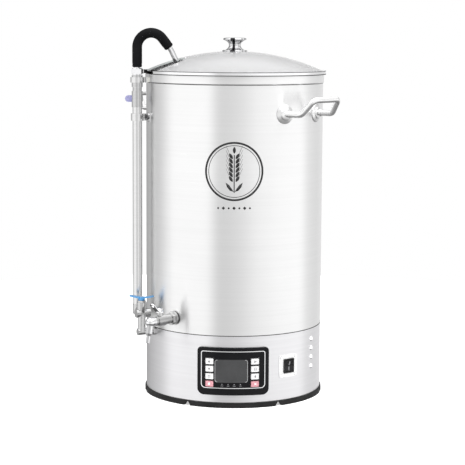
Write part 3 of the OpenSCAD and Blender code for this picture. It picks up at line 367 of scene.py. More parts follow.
# steels: how far the tone drifts, roughness from low to high, depth of the brushed lines, wiped marks,
# wear on the edges, and how far the brushing smears a reflection up and down
steels = {
    "satinWall": dict(tone=grey(0.885), drift=0.03, rough=(0.27, 0.37), grain=0.04, smears=0.4, smear=0.75),
    "brushedBase": dict(
        tone=(0.865, 0.86, 0.875), drift=0.045, rough=(0.27, 0.38), grain=0.07, smears=0.4, smear=0.75
    ),
    "pipeSatin": dict(tone=grey(0.7), drift=0.04, rough=(0.16, 0.26), grain=0.05, fineness=1.2),
    "castFitting": dict(tone=grey(0.55), drift=0.08, rough=(0.1, 0.2), grain=0.05, fineness=2.0, wear=0.5),
    "polishedSteel": dict(
        tone=(0.84, 0.84, 0.85), drift=0.02, rough=(0.06, 0.13), grain=0.01, fineness=1.5, wear=0.4
    ),
    "handleSteel": dict(tone=grey(0.93), drift=0.02, rough=(0.3, 0.4), grain=0.01, fineness=1.5, wear=0.3),
    "innerSteel": dict(tone=grey(0.72), drift=0.05, rough=(0.24, 0.36), grain=0.08, fineness=0.8),
    "hotRing": dict(tone=(0.24, 0.24, 0.25), drift=0.12, rough=(0.35, 0.5), grain=0.1, fineness=2.0),
    "boltDark": dict(
        tone=(0.16, 0.16, 0.165), drift=0.1, rough=(0.25, 0.4), grain=0.05, fineness=2.0, wear=0.6
    ),
}
# plastics, rubber, prints and painted light (a painted highlight on the vents, painted shade rings, painted sheen
# on the rocker): two tones, roughness from low to high, scale and depth of the moulded grain
plastics = {
    # pale diffuse finish on the steel vent louvres: a painted highlight that keeps each louvre bright
    "ventPaintedHighlight": dict(
        low=(0.86, 0.86, 0.87), high=grey(0.92), rough=(0.3, 0.4), pebble=1500, depth=0.05, wear=0.2,
        wearColour=grey(0.95)
    ),
    "footRubber": dict(
        low=grey(0.012), high=grey(0.022), rough=(0.5, 0.65), pebble=1500, depth=0.4, wear=0.2,
        specular=0.12
    ),
    "sleeveRubber": dict(
        low=(0.005, 0.005, 0.006), high=(0.01, 0.01, 0.011), rough=(0.6, 0.75), pebble=1900, depth=0.5,
        wear=0.05, specular=0.06
    ),
    "bezelGloss": dict(
        low=(0.004, 0.004, 0.005), high=(0.007, 0.007, 0.008), rough=(0.1, 0.2), pebble=2500, depth=0.05,
        wear=0.1, specular=0.12
    ),
    "screenTint": dict(
        low=(0.035, 0.036, 0.037), high=(0.05, 0.05, 0.052), rough=(0.14, 0.24), pebble=2500, depth=0.05,
        wear=0.1, specular=0.3
    ),
    "keyWhite": dict(
        low=grey(0.66), high=grey(0.74), rough=(0.35, 0.5), pebble=1800, depth=0.2, wear=0.2,
        wearColour=grey(0.9)
    ),
    "keyRed": dict(
        low=(0.55, 0.24, 0.27), high=(0.63, 0.3, 0.34), rough=(0.35, 0.5), pebble=1800, depth=0.2,
        wear=0.2, wearColour=(0.9, 0.6, 0.62)
    ),
    "palePlate": dict(
        low=grey(0.66), high=grey(0.74), rough=(0.35, 0.5), pebble=1600, depth=0.2, wearColour=grey(0.9)
    ),
    "switchBlack": dict(
        low=(0.01, 0.01, 0.011), high=(0.02, 0.02, 0.021), rough=(0.25, 0.4), pebble=1600, depth=0.25,
        wear=0.4, specular=0.2
    ),
    "handleBlue": dict(
        low=(0.045, 0.21, 0.46), high=(0.07, 0.28, 0.56), rough=(0.25, 0.4), pebble=1500, depth=0.3,
        wear=0.4, coat=0.2, wearColour=(0.5, 0.6, 0.75)
    ),
    "handleLilac": dict(
        low=(0.34, 0.34, 0.6), high=(0.42, 0.42, 0.68), rough=(0.25, 0.4), pebble=1500, depth=0.3,
        wear=0.4, coat=0.2, wearColour=(0.6, 0.65, 0.8)
    ),
    "boardGreen": dict(
        low=(0.02, 0.1, 0.05), high=(0.03, 0.14, 0.07), rough=(0.35, 0.5), pebble=900, depth=0.3, wear=0.2
    ),
    "milkySilicone": dict(
        low=(0.62, 0.62, 0.58), high=(0.7, 0.7, 0.66), rough=(0.35, 0.5), pebble=1200, depth=0.2, wear=0.1,
        wearColour=grey(0.8)
    ),
    # dark rings: painted shade in the lid gaps and under the collar, and the dark line at the base seam
    "shadeAndSeamDark": dict(
        low=grey(0.02), high=grey(0.035), rough=(0.5, 0.65), pebble=1600, depth=0.3, wear=0.0,
        specular=0.15
    ),
    "groundEdge": dict(
        low=(0.7, 0.74, 0.73), high=(0.78, 0.81, 0.8), rough=(0.35, 0.5), pebble=1600, depth=0.3, wear=0.0
    ),
    "printGrey": dict(
        low=(0.01, 0.01, 0.011), high=(0.018, 0.018, 0.019), rough=(0.4, 0.5), pebble=2500, depth=0.1,
        wear=0.0
    ),
    # grey for the printed marks, and for the painted reflection bars on the rocker
    "markAndSheenGrey": dict(
        low=(0.2, 0.2, 0.21), high=(0.26, 0.26, 0.27), rough=(0.4, 0.5), pebble=2500, depth=0.1, wear=0.0
    ),
    "markPale": dict(
        low=(0.4, 0.4, 0.41), high=(0.48, 0.48, 0.49), rough=(0.4, 0.5), pebble=2500, depth=0.1, wear=0.0
    ),
    "markWhite": dict(low=grey(0.8), high=grey(0.88), rough=(0.4, 0.5), pebble=2500, depth=0.1, wear=0.0),
}
mats = {name: makeSteel(name, **looks) for name, looks in steels.items()}
mats.update((name, makePlastic(name, **looks)) for name, looks in plastics.items())
# knob steel with a painted reflection: dark streaks painted into its colour
mats["knobSteelPaintedReflection"] = makeReflectionStreaked("knobSteelPaintedReflection", (0.03, 0.03, 0.032), (0.74, 0.74, 0.75), 0.05, 0.11)
mats["domeGlass"] = makeGlass("domeGlass", (0.69, 0.69, 0.695), 0.10, 0.5)
print("materials built:", len(mats))

# every CAD node gets its finish
finishOf = {
    "footRubber": ["foot_ring"],
    "hotRing": ["base_plate", "heating_rings"],
    "brushedBase": ["base_shell"],
    "satinWall": ["kettle_shell"],
    "innerSteel": ["kettle_bottom", "sump_filter", "malt_pipe", "top_screen", "overflow_pipe"],
    "castFitting": [
        "lower_valve_body", "riser_foot", "upper_valve_body", "riser_top", "outlet_elbow", "tap_body", "tap_nuts",
    ],
    "pipeSatin": ["riser_pipe", "riser_clamp", "rim_hook"],
    "polishedSteel": [
        "temperature_probe", "lower_valve_stem", "upper_valve_stem", "union_nut", "arm_tube", "tap_ball",
        "tap_lever", "tap_spout", "panel_trim", "screws", "lid_rim", "lid_knob", "knob_screw", "malt_bail",
    ],
    "handleSteel": ["handle_right", "handle_left"],
    "sleeveRubber": ["arm_sleeve", "tap_gasket"],
    "switchBlack": ["pump_body", "switch_body", "switch_rocker", "power_inlet"],
    "milkySilicone": ["rim_pad", "pump_rotor", "pump_hoses"],
    "handleBlue": ["lower_valve_handle"],
    "handleLilac": ["upper_valve_handle"],
    "bezelGloss": ["panel_bezel"],
    "screenTint": ["display_window"],
    "boardGreen": ["control_board"],
    "palePlate": ["switch_plate"],
    "domeGlass": ["lid_glass"],
    "keyWhite": ["button_%s_%d" % (s, k) for s in ("left", "right") for k in (1, 2, 3)],
    "keyRed": ["button_left_4", "button_right_4"],
}
for finish, names in finishOf.items():
    for n in names:
        nodes[n].data.materials.clear()
        nodes[n].data.materials.append(mats[finish])
unfinished = sorted(set(nodes) - {n for names in finishOf.values() for n in names})
# the vent louvres on the base take a pale diffuse finish in place of steel, a painted highlight
base = nodes["base_shell"].data
base.materials.append(mats["ventPaintedHighlight"])
for face in base.polygons:
    if math.hypot(face.center.x, face.center.y) > wallR + 0.0002 and face.normal.z > -0.6:
        face.material_index = 1
print("nodes finished:", sum(map(len, finishOf.values())), "left over:", unfinished)

# mesh helpers
def addPiece(name, bm, finish, body, smooth=38):
    mesh = bpy.data.meshes.new(name)
    bmesh.ops.recalc_face_normals(bm, faces=bm.faces)
    bm.to_mesh(mesh)
    bm.free()
    mesh.materials.append(mats[finish])
    obj = bpy.data.objects.new(name, mesh)
    bpy.context.scene.collection.objects.link(obj)
    for face in mesh.polygons:
        face.use_smooth = True
    if smooth:
        mesh.set_sharp_from_angle(angle=math.radians(smooth))
    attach(obj, body)
    return obj


def addModifier(obj, kind, **values):
    mod = obj.modifiers.new(kind.lower(), kind)
    for k, v in values.items():
        setattr(mod, k, v)
    return mod


# profile of (radius, height) pairs turned about an upright axis
def turned(bm, profile, centre=(0, 0, 0), sides=128, closed=True, frameAxes=None):
    rings = []
    for k in range(sides):
        a = 2 * math.pi * k / sides
        ring = []
        for r, z in profile:
            p = Vector((r * math.cos(a), r * math.sin(a), z))
            if frameAxes:
                p = frameAxes[0] * p.x + frameAxes[1] * p.y + frameAxes[2] * p.z
            ring.append(bm.verts.new(Vector(centre) + p))
        rings.append(ring)
    count = len(profile)
    for k in range(sides):
        a, b = rings[k], rings[(k + 1) % sides]
        for i in range(count if closed else count - 1):
            j = (i + 1) % count
            bm.faces.new((a[i], b[i], b[j], a[j]))
    return rings


# soft corners on a turned profile
def softened(points, radius=0.0006, steps=3):
    out = []
    n = len(points)
    for i in range(n):
        p = Vector(points[i])
        a, b = Vector(points[i - 1]) - p, Vector(points[(i + 1) % n]) - p
        cut = min(radius, a.length * 0.4, b.length * 0.4)
        s, e = p + a.normalized() * cut, p + b.normalized() * cut
        for k in range(steps + 1):
            t = k / steps
            out.append(tuple((1 - t) ** 2 * s + 2 * t * (1 - t) * p + t * t * e))
    return out


def roundedPath(points, radii, steps=14):
    pts = [Vector(p) for p in points]
    out = [pts[0]]
    for i in range(1, len(pts) - 1):
        d1 = (pts[i] - pts[i - 1]).normalized()
        d2 = (pts[i + 1] - pts[i]).normalized()
        turn = d1.angle(d2)
        bend = radii[i - 1]
        start = pts[i] - d1 * bend * math.tan(turn / 2)
        inward = (d2 - d1 * d1.dot(d2)).normalized()
        centre = start + inward * bend
        for k in range(steps + 1):
            a = turn * k / steps
            out.append(centre - inward * bend * math.cos(a) + d1 * bend * math.sin(a))
    out.append(pts[-1])
    return out


# sweep of a circle whose radius may change from point to point
def swept(bm, path, radius, sides=40, caps=True, up=(0, 0, 1)):
    count = len(path)
    radii = radius if isinstance(radius, list) else [radius] * count
    rings = []
    cross = None
    for i in range(count):
        t = (path[min(i + 1, count - 1)] - path[max(i - 1, 0)]).normalized()
        cross = (Vector(up) if cross is None else cross)
        cross = (cross - t * cross.dot(t)).normalized()
        other = t.cross(cross)
        rings.append([
            bm.verts.new(path[i] + radii[i] * (math.cos(a) * cross + math.sin(a) * other))
            for a in (2 * math.pi * k / sides for k in range(sides))
        ])
    for i in range(count - 1):
        for k in range(sides):
            m = (k + 1) % sides
            bm.faces.new((rings[i][k], rings[i][m], rings[i + 1][m], rings[i + 1][k]))
    if caps:
        bm.faces.new(list(reversed(rings[0])))
        bm.faces.new(rings[-1])
    return rings


# flat drawing (u along the wall, v up) wrapped on the wall at an azimuth
def wrapped(bm, outline, az, r, z, thick=0.0002):
    def put(u, v, lift):
        return atAz(az + math.degrees(u / r), r + lift, z + v)

    front = [bm.verts.new(put(u, v, thick)) for u, v in outline]
    back = [bm.verts.new(put(u, v, 0)) for u, v in outline]
    bm.faces.new(front)
    bm.faces.new(list(reversed(back)))
    n = len(outline)
    for i in range(n):
        j = (i + 1) % n
        bm.faces.new((front[i], back[i], back[j], front[j]))


# a band between two outlines with the same number of points
def wrappedBand(bm, outer, inner, az, r, z, thick=0.0002):
    def put(p, lift):
        return atAz(az + math.degrees(p[0] / r), r + lift, z + p[1])

    edges = ((outer, 0), (outer, thick), (inner, thick), (inner, 0))
    rows = [[bm.verts.new(put(p, lift)) for p in line] for line, lift in edges]
    n = len(outer)
    for i in range(n):
        j = (i + 1) % n
        for q in range(4):
            a, b = rows[q], rows[(q + 1) % 4]
            bm.faces.new((a[i], a[j], b[j], b[i]))


def roundRect(w, h, topR, lowR=None, steps=8):
    lowR = topR if lowR is None else lowR
    out = []
    for cx, cy, r, a0 in (
        (w / 2 - topR, h / 2 - topR, topR, 0),
        (-w / 2 + topR, h / 2 - topR, topR, 90),
        (-w / 2 + lowR, -h / 2 + lowR, lowR, 180),
        (w / 2 - lowR, -h / 2 + lowR, lowR, 270),
    ):
        for k in range(steps + 1):
            a = math.radians(a0 + 90 * k / steps)
            out.append((cx + r * math.cos(a), cy + r * math.sin(a)))
    return out


def ringOutline(r, count=96):
    angles = (2 * math.pi * k / count for k in range(count))
    return [(r * math.cos(a), r * math.sin(a)) for a in angles]


def turnedOutline(points, angle, cx=0.0, cy=0.0):
    c, s = math.cos(math.radians(angle)), math.sin(math.radians(angle))
    return [(cx + x * c - y * s, cy + x * s + y * c) for x, y in points]


# glass dome
dome = {"thickness": 0.004, "rise": 0.0445, "hole": 0.0036, "sides": 192, "rings": 40}
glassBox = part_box("lid_glass")
glassR = glassBox[1].x
domeTop = glassBox[1].z
domeR = (glassR * glassR + dome["rise"] * dome["rise"]) / (2 * dome["rise"])
domeCentre = domeTop - domeR
notch = {"width": 0.108, "depth": 0.082, "corner": 0.034, "band": 0.003, "steps": 12}
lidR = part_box("lid_rim")[1].x


def notchOutline(grow=0.0, reach=0.06):
    inner = lidR - notch["depth"]
    c = notch["corner"] + grow
    half = notch["width"] / 2 + grow
    pts = [(lidR + reach, -half)]
    for first, middle in ((270, -half + c), (180, half - c)):
        for k in range(notch["steps"] + 1):
            a = math.radians(first - 90 * k / notch["steps"])
            pts.append((inner + notch["corner"] + c * math.cos(a), middle + c * math.sin(a)))
    pts.append((lidR + reach, half))
    return [outOf(riserAz) * x + alongWall(riserAz) * y for x, y in pts]


def prism(name, outline, low, high):
    bm = bmesh.new()
    bottom = [bm.verts.new((p.x, p.y, low)) for p in outline]
    top = [bm.verts.new((p.x, p.y, high)) for p in outline]
    bm.faces.new(bottom)
    bm.faces.new(list(reversed(top)))
    for i in range(len(outline)):
        j = (i + 1) % len(outline)
        bm.faces.new((bottom[i], bottom[j], top[j], top[i]))
    bmesh.ops.recalc_face_normals(bm, faces=bm.faces)
    mesh = bpy.data.meshes.new(name)
    bm.to_mesh(mesh)
    bm.free()
    obj = bpy.data.objects.new(name, mesh)
    bpy.context.scene.collection.objects.link(obj)
    return obj


def cutWith(obj, cutter):
    mod = addModifier(obj, "BOOLEAN", operation="DIFFERENCE", object=cutter, solver="EXACT")
    bpy.context.view_layer.objects.active = obj
    with bpy.context.temp_override(object=obj, active_object=obj, selected_objects=[obj]):
        bpy.ops.object.modifier_apply(modifier=mod.name)
    bpy.data.objects.remove(cutter)


# out along the outer sphere and back along the inner one, open at the knob's screw
def domeProfile(outer, inner, edge):
    steps = [edge * k / dome["rings"] for k in range(dome["rings"] + 1)]
    pts = [(r, domeCentre + math.sqrt(outer * outer - r * r)) for r in steps]
    pts += [(r, domeCentre + math.sqrt(inner * inner - r * r)) for r in reversed(steps)]
    return [(max(r, dome["hole"]), z) for r, z in pts]


bm = bmesh.new()
turned(bm, domeProfile(domeR, domeR - dome["thickness"], glassR), sides=dome["sides"])
glassDome = addPiece("glass_dome", bm, "domeGlass", "lid", 30)
cutWith(glassDome, prism("notchCutter", notchOutline(notch["band"]), rimZ - 0.05, domeTop + 0.05))
for face in glassDome.data.polygons:
    face.use_smooth = True
glassDome.data.set_sharp_from_angle(angle=math.radians(30))
glassDome.data.materials.append(mats["groundEdge"])
for face in glassDome.data.polygons:
    if abs(face.normal.z) < 0.45:  # the ground edge stands upright
        face.material_index = 1
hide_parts("lid_glass")
print("glass dome done")

# knob
knob = {
    "waist": 0.0135, "top": 0.0265, "foot": 0.0285, "seat": 0.0225, "bore": 0.0032,
    "baseT": 0.003, "capT": 0.006, "flare": 2.4, "sides": 96, "steps": 20,
}
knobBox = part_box("lid_knob")
knobTop = knobBox[1].z
knobLow = domeCentre + math.sqrt(domeR ** 2 - knob["foot"] ** 2) + 0.00005
knobH = knobTop - knobLow
under = domeCentre + math.sqrt((domeR + 0.0001) ** 2 - knob["seat"] ** 2)
outline = [
    (knob["bore"], under + 0.002),
    (knob["seat"], under),
    (knob["foot"], knobLow),
    (knob["foot"], knobLow + 0.0014),
    (knob["foot"] - 0.0006, knobLow + 0.0023),
    (knob["foot"] - 0.0022, knobLow + knob["baseT"]),
]
span = knobH - knob["baseT"] - knob["capT"]
for k in range(knob["steps"] + 1):
    t = k / knob["steps"]
    spread = (0.0085 if t < 0.5 else 0.0105) * abs(2 * t - 1) ** knob["flare"]
    outline.append((knob["waist"] + spread, knobLow + knob["baseT"] + t * span))
outline += [
    (knob["top"] - 0.0007, knobTop - knob["capT"] + 0.0006),
    (knob["top"], knobTop - knob["capT"] + 0.0018),
    (knob["top"], knobTop - 0.0030),
    (knob["top"] - 0.0006, knobTop - 0.0020),
    (knob["top"] - 0.0024, knobTop - 0.0010),
    (knob["top"] - 0.0060, knobTop - 0.0003),
    (knob["top"] - 0.0120, knobTop),
    (knob["bore"], knobTop),
]
bm = bmesh.new()
turned(bm, outline, sides=knob["sides"])
bmesh.ops.holes_fill(bm, edges=[e for e in bm.edges if e.is_boundary])
lidKnob = addPiece("polished_knob", bm, "knobSteelPaintedReflection", "lid", 40)
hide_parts("lid_knob")
bm = bmesh.new()
plug = [(0.0, -0.0012), (0.0030, -0.0012), (0.0030, -0.0004), (0.0024, 0.0), (0.0, 0.0)]
turned(bm, [(r, knobTop + h) for r, h in plug], sides=24)
addPiece("knob_top_plug", bm, "knobSteelPaintedReflection", "lid")

# side handles
handle = {
    "az": 48.7, "rod": 0.0065, "half": 0.054, "legOut": 0.045, "riseOut": 0.026, "riseUp": 0.032,
    "riseIn": 0.0116, "bend": 0.014, "flange": 0.021, "boss": 0.013, "bossH": 0.0070, "beadOut": 0.0142,
}
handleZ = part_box("handle_right")[0].z + handle["flange"]
legAngle = math.degrees(math.asin(handle["half"] / wallR))
chordR = wallR * math.cos(math.radians(legAngle))


def buildHandle(name, node, az):
    out, along, up = outOf(az), alongWall(az), Vector((0, 0, 1))

    def at(x, y, z):
        return out * x + along * y + up * (handleZ + z)

    kneeX = chordR + handle["legOut"]
    topX = kneeX + handle["riseOut"]
    topY = handle["half"] - handle["riseIn"]
    oneSide = [(chordR + 0.001, handle["half"], 0), (kneeX, handle["half"], 0), (topX, topY, handle["riseUp"])]
    rail = [at(x, y, z) for x, y, z in oneSide] + [at(x, -y, z) for x, y, z in reversed(oneSide)]
    bm = bmesh.new()
    swept(bm, roundedPath(rail, [handle["bend"]] * 4), handle["rod"], 36)
    for s in (-1, 1):
        faceAz = az + s * legAngle
        axes = (alongWall(faceAz), Vector((0, 0, 1)), outOf(faceAz))
        flange = [
            (0.0, 0.0),
            (handle["flange"], 0.0),
            (handle["flange"], 0.0014),
            (handle["flange"] - 0.0012, 0.0025),
            (handle["boss"] + 0.0012, 0.0032),
            (handle["boss"], 0.0042),
            (handle["boss"], 0.0058),
            (handle["boss"] - 0.0014, handle["bossH"]),
            (0.0, handle["bossH"]),
        ]
        rings = turned(bm, flange, atAz(faceAz, wallR, handleZ), 48, False, axes)
        for ring in rings:  # the back of the flange follows the wall
            for v, (r, h) in zip(ring, flange):
                flat = Vector((v.co.x, v.co.y))
                off = flat.dot(Vector((axes[0].x, axes[0].y)))
                drop = wallR - math.sqrt(max(wallR ** 2 - off ** 2, 0))
                v.co -= axes[2] * drop * (1 if r > handle["boss"] + 0.002 else 0.4)
                if h == 0.0:
                    v.co += axes[2] * 0.0001
        # weld bead where the rod meets the boss
        legAxis = at(chordR + handle["beadOut"], s * handle["half"], 0)
        bead = [(0, -0.0012), (0.0014, -0.0006), (0.0010, 0.0006), (0, 0.0012)]
        bead = [(handle["rod"] + r, h) for r, h in bead]
        turned(bm, bead, legAxis, 36, True, (along, up, out))
    bmesh.ops.remove_doubles(bm, verts=bm.verts, dist=0.00001)
    piece = addPiece(name, bm, "handleSteel", "kettle", 42)
    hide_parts(node)


buildHandle("bent_handle_right", "handle_right", handle["az"])
buildHandle("bent_handle_left", "handle_left", handle["az"] + 180)
print("handles done")

# gooseneck arm
arm = {
    "r": 0.006, "bore": 0.0048, "archR": 0.032, "rise": 0.091, "dip": 52, "run": 0.0317,
    "tipDip": 64.4, "tipLen": 0.034, "tipBend": 0.040, "flangeR": 0.0088, "flangeT": 0.003, "sides": 36,
}
sleeve = {"r": 0.011, "bore": 0.0061, "short": 0.006, "step": 0.003, "lip": 0.0016, "sides": 44}
groove = {"deep": 0.0007, "at": 0.006, "wide": 0.0011}  # moulded near each end of the sleeve
half = (90 + arm["dip"]) / 2
corner = arm["archR"] * math.tan(math.radians(half / 2))


def inPlane(x, z):
    return atAz(riserAz, riserR - x, z)


# the next corner of the path, a length further on at so many degrees below level
def onward(spot, dip, length):
    a = math.radians(dip)
    return (spot[0] + length * math.cos(a), spot[1] - length * math.sin(a))


# a tube with a bore along the path, closed at both ends
def pipe(bm, path, outerR, innerR, sides):
    across = alongWall(riserAz)
    outer = swept(bm, path, outerR, sides, False, across)
    inner = swept(bm, path, innerR, sides, False, across)
    for a, b in ((outer[0], inner[0]), (outer[-1], inner[-1])):
        for k in range(sides):
            m = (k + 1) % sides
            bm.faces.new((a[k], a[m], b[m], b[k]))


armP1 = (0, rimZ + arm["rise"] - arm["archR"] + corner)
armP2 = onward(armP1, half - 90, 2 * corner)
armP3 = onward(armP2, arm["dip"], corner + arm["run"])
armP4 = onward(armP3, arm["tipDip"], arm["tipLen"])
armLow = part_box("arm_tube")[0].z
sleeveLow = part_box("arm_sleeve")[0].z
corners = [inPlane(*p) for p in ((0, armLow), armP1, armP2, armP3, armP4)]
bends = [arm["archR"], arm["archR"], arm["tipBend"]]
bm = bmesh.new()
pipe(bm, roundedPath(corners, bends, 16), arm["r"], arm["bore"], arm["sides"])
flangeTop = armLow + arm["flangeT"]
flange = [(arm["bore"], armLow), (arm["flangeR"], armLow)]
flange += [(arm["flangeR"], flangeTop), (arm["bore"], flangeTop)]
flange = softened(flange, 0.0004)
turned(bm, flange, (riserXY.x, riserXY.y, 0), 48)
armTube = addPiece("arm_bare_tube", bm, "polishedSteel", "arm", 40)
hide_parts("arm_tube")

downhill = (inPlane(*armP3) - inPlane(*armP2)).normalized()
sleeveEnd = inPlane(*armP3) - downhill * sleeve["short"]
sleevePath = roundedPath([inPlane(0, sleeveLow), inPlane(*armP1), inPlane(*armP2), sleeveEnd], bends[:2], 18)
dense = [sleevePath[0]]
for p in sleevePath[1:]:
    gap = p - dense[-1]
    cuts = max(1, int(gap.length / sleeve["step"]))
    base = dense[-1]
    dense += [base + gap * (k + 1) / cuts for k in range(cuts)]
length = [0.0]
for a, b in zip(dense, dense[1:]):
    length.append(length[-1] + (b - a).length)
whole = length[-1]
radii = []
for s in length:
    near = min(s, whole - s)
    lip = sleeve["lip"] * max(0.0, 1 - near / sleeve["lip"]) ** 2  # rounded ends
    ring = groove["deep"] * math.exp(-((near - groove["at"]) / groove["wide"]) ** 2)
    radii.append(sleeve["r"] - lip - ring)
bm = bmesh.new()
pipe(bm, dense, radii, sleeve["bore"], sleeve["sides"])
armSleeve = addPiece("arm_soft_sleeve", bm, "sleeveRubber", "arm", 60)
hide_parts("arm_sleeve")
print("gooseneck arm done")

# dark rings: painted shade for the gap lines at the top of the lid edge, between lid and kettle rim, and under
# the collar; and a dark line at the base seam
darkRings = {
    "lidTop": 0.0013, "lidUnder": 0.0018, "seam": 0.0016, "collar": 0.0007, "stand": 0.0004, "into": 0.0012,
    "topUp": 0.0078, "underUp": 0.0008, "collarDown": 0.0192, "off": 0.0001,
}


# a thin dark ring round the kettle, standing a little proud; painted shade where it marks a gap or an undercut
def shadeAndSeamRing(name, r, z, tall, stand, body, gapNotch=False):
    half = [(r - darkRings["into"], tall / 2), (r + stand * 0.6, tall / 2), (r + stand, tall * 0.2)]
    bm = bmesh.new()
    turned(bm, [(x, z - h) for x, h in half] + [(x, z + h) for x, h in reversed(half)], sides=192)
    ring = addPiece(name, bm, "shadeAndSeamDark", body, 50)
    if gapNotch:
        cutWith(ring, prism(name + "Cutter", notchOutline(0.0), rimZ - 0.05, rimZ + 0.05))
    return ring


wallRingR = wallR + darkRings["off"]
shadeAndSeamRing("lid_edge_painted_shade", lidR, rimZ + darkRings["topUp"], darkRings["lidTop"], darkRings["stand"], "lid", True)
shadeAndSeamRing("lid_gap_painted_shade", lidR, rimZ + darkRings["underUp"], darkRings["lidUnder"], darkRings["stand"], "lid", True)
shadeAndSeamRing("collar_painted_shade", wallRingR, rimZ - darkRings["collarDown"], darkRings["collar"], darkRings["stand"], "kettle")
shadeAndSeamRing("base_seam", wallRingR, seamZ, darkRings["seam"], darkRings["stand"], "kettle")
print("seals done")

# clamp bolts
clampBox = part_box("riser_clamp")
clampZ = (clampBox[0].z + clampBox[1].z) / 2
bolts = {"head": 0.0052, "deep": 0.0042, "recess": 0.002, "out": 0.0021, "turns": (-76 + 5.6, -76 - 3.0)}
boltSides = (32, 6)  # one round head, one hexagon
boltFloor = bolts["deep"] - bolts["recess"]
for k, az in enumerate(bolts["turns"]):
    axes = (alongWall(az), Vector((0, 0, 1)), outOf(az))
    head = [
        (0.0001, 0.0), (bolts["head"], 0.0), (bolts["head"], bolts["deep"]),
        (0.0030, bolts["deep"]), (0.0026, boltFloor), (0.0001, boltFloor),
    ]
    bm = bmesh.new()
    turned(bm, softened(head, 0.0004), atAz(az, wallR + bolts["out"], clampZ), boltSides[k], True, axes)
    addPiece("clamp_bolt_%d" % (k + 1), bm, "boltDark", "kettle", 40)
print("clamp bolts done")

# emblem: a ring with an ear of barley, printed on the wall
emblem = {
    "z": 0.521, "r": 0.064, "line": 0.0042, "fineR": (0.0565, 0.0552), "grain": (0.0066, 0.0150), "plump": 0.8,
    "rows": 6, "rowLow": -0.016, "rowUp": 0.0098, "grainLean": 32, "hairLean": 24, "leafLean": 28,
    "stem": 0.0022, "stemLow": -0.046, "stemTop": 0.036, "barZ": 0.4415, "barStep": 0.0115,
}
printR = wallR + 0.00004
bm = bmesh.new()


def stamp(outline, z=emblem["z"]):
    wrapped(bm, outline, 0, printR, z)


for outer, inner in ((emblem["r"], emblem["r"] - emblem["line"]), emblem["fineR"]):
    wrappedBand(bm, ringOutline(outer), ringOutline(inner), 0, printR, emblem["z"])
gw, gh = emblem["grain"]
upward = [k / 12 for k in range(13)]
grain = [(gw / 2 * math.sin(math.pi * t) ** emblem["plump"], -gh / 2 + gh * t) for t in upward]
grain += [(-u, v) for u, v in reversed(grain[1:-1])]
hair = [(-0.0004, 0), (0.0004, 0), (0.0002, 0.017), (-0.0002, 0.017)]
leaf = [(0, 0), (0.006, 0.006), (0.008, 0.016), (0.006, 0.026), (0.002, 0.018), (0.0005, 0.008)]
for row in range(emblem["rows"]):
    v = emblem["rowLow"] + row * emblem["rowUp"]
    for side in (-1, 1):
        stamp(turnedOutline(grain, -side * emblem["grainLean"], side * 0.0072, v))
        stamp(turnedOutline(hair, -side * emblem["hairLean"], side * 0.0112, v + 0.0075))
stamp([(x, y + 0.046) for x, y in grain])
halfStem = emblem["stem"] / 2
stamp([
    (-halfStem, emblem["stemLow"]), (halfStem, emblem["stemLow"]),
    (halfStem, emblem["stemTop"]), (-halfStem, emblem["stemTop"]),
])
for side in (-1, 1):
    stamp(turnedOutline([(x * side, y) for x, y in leaf], -side * emblem["leafLean"], side * 0.001, -0.044))
for k in range(-3, 4):
    size = 0.0026 if k % 2 else 0.0038
    diamond = [(-size, 0), (0, -size), (size, 0), (0, size)]
    stamp(turnedOutline(diamond, 0, k * emblem["barStep"], 0), emblem["barZ"])
addPiece("barley_emblem", bm, "printGrey", "kettle", 0)

# control panel print
panel = {
    "z": 0.082, "faceR": wallR + 0.004, "windowX": -0.004, "windowZ": 0.083, "windowR": wallR + 0.0044,
    "keysX": (-0.052, 0.048), "keyR": wallR + 0.0049, "rowsUp": (0.022, 0.0053, -0.0114, -0.0281),
    "lift": 0.00003, "ink": 0.00012, "markX": -0.020, "markStep": 0.0133, "dotZ": -0.0285, "dashZ": -0.0320,
}
keyZs = [panel["z"] + up for up in panel["rowsUp"]]
windowR = panel["windowR"] + panel["lift"]
bm = bmesh.new()
azWindow = math.degrees(panel["windowX"] / wallR)
outer, inner = roundRect(0.0722, 0.0492, 0.0045), roundRect(0.0708, 0.0478, 0.0040)
wrappedBand(bm, outer, inner, azWindow, windowR, panel["windowZ"], panel["ink"])
addPiece("display_outline", bm, "markPale", "kettle", 0)
bm = bmesh.new()
for k in range(4):
    azMark = math.degrees((panel["windowX"] + panel["markX"] + panel["markStep"] * k) / wallR)
    dot, dash = ringOutline(0.0011, 20), roundRect(0.0060, 0.0009, 0.0004, None, 3)
    for shape, up in ((dot, panel["dotZ"]), (dash, panel["dashZ"])):
        wrapped(bm, shape, azMark, panel["faceR"] + panel["lift"], panel["z"] + up, panel["ink"])
addPiece("panel_small_marks", bm, "markAndSheenGrey", "kettle", 0)

arrowUp = [(-0.0030, -0.0022), (0.0030, -0.0022), (0, 0.0028)]
bar = roundRect(0.0068, 0.0014, 0.0006, None, 3)
post = roundRect(0.0014, 0.0068, 0.0006, None, 3)
square = roundRect(0.0050, 0.0050, 0.0008, None, 3)
drop = []
for k in range(24):  # narrow above, round below
    t = 2 * math.pi * k / 24
    width = 0.0024 * (0.55 + 0.45 * (1 - math.cos(t)) / 2)
    drop.append((width * math.sin(t), (0.0032 if math.cos(t) > 0 else 0.00256) * math.cos(t)))
keyMarks = {
    ("left", 1): [arrowUp],
    ("left", 2): [turnedOutline(arrowUp, 180)],
    ("left", 3): [turnedOutline(bar, 0, 0, 0.0017), turnedOutline(bar, 0, 0, -0.0017)],
    ("left", 4): [square],
    ("right", 1): [turnedOutline(arrowUp, -90)],
    ("right", 2): [turnedOutline(post, 0, -0.0017, 0), turnedOutline(post, 0, 0.0017, 0)],
    ("right", 3): [drop],
    ("right", 4): [turnedOutline(bar, 45), turnedOutline(bar, -45)],
}
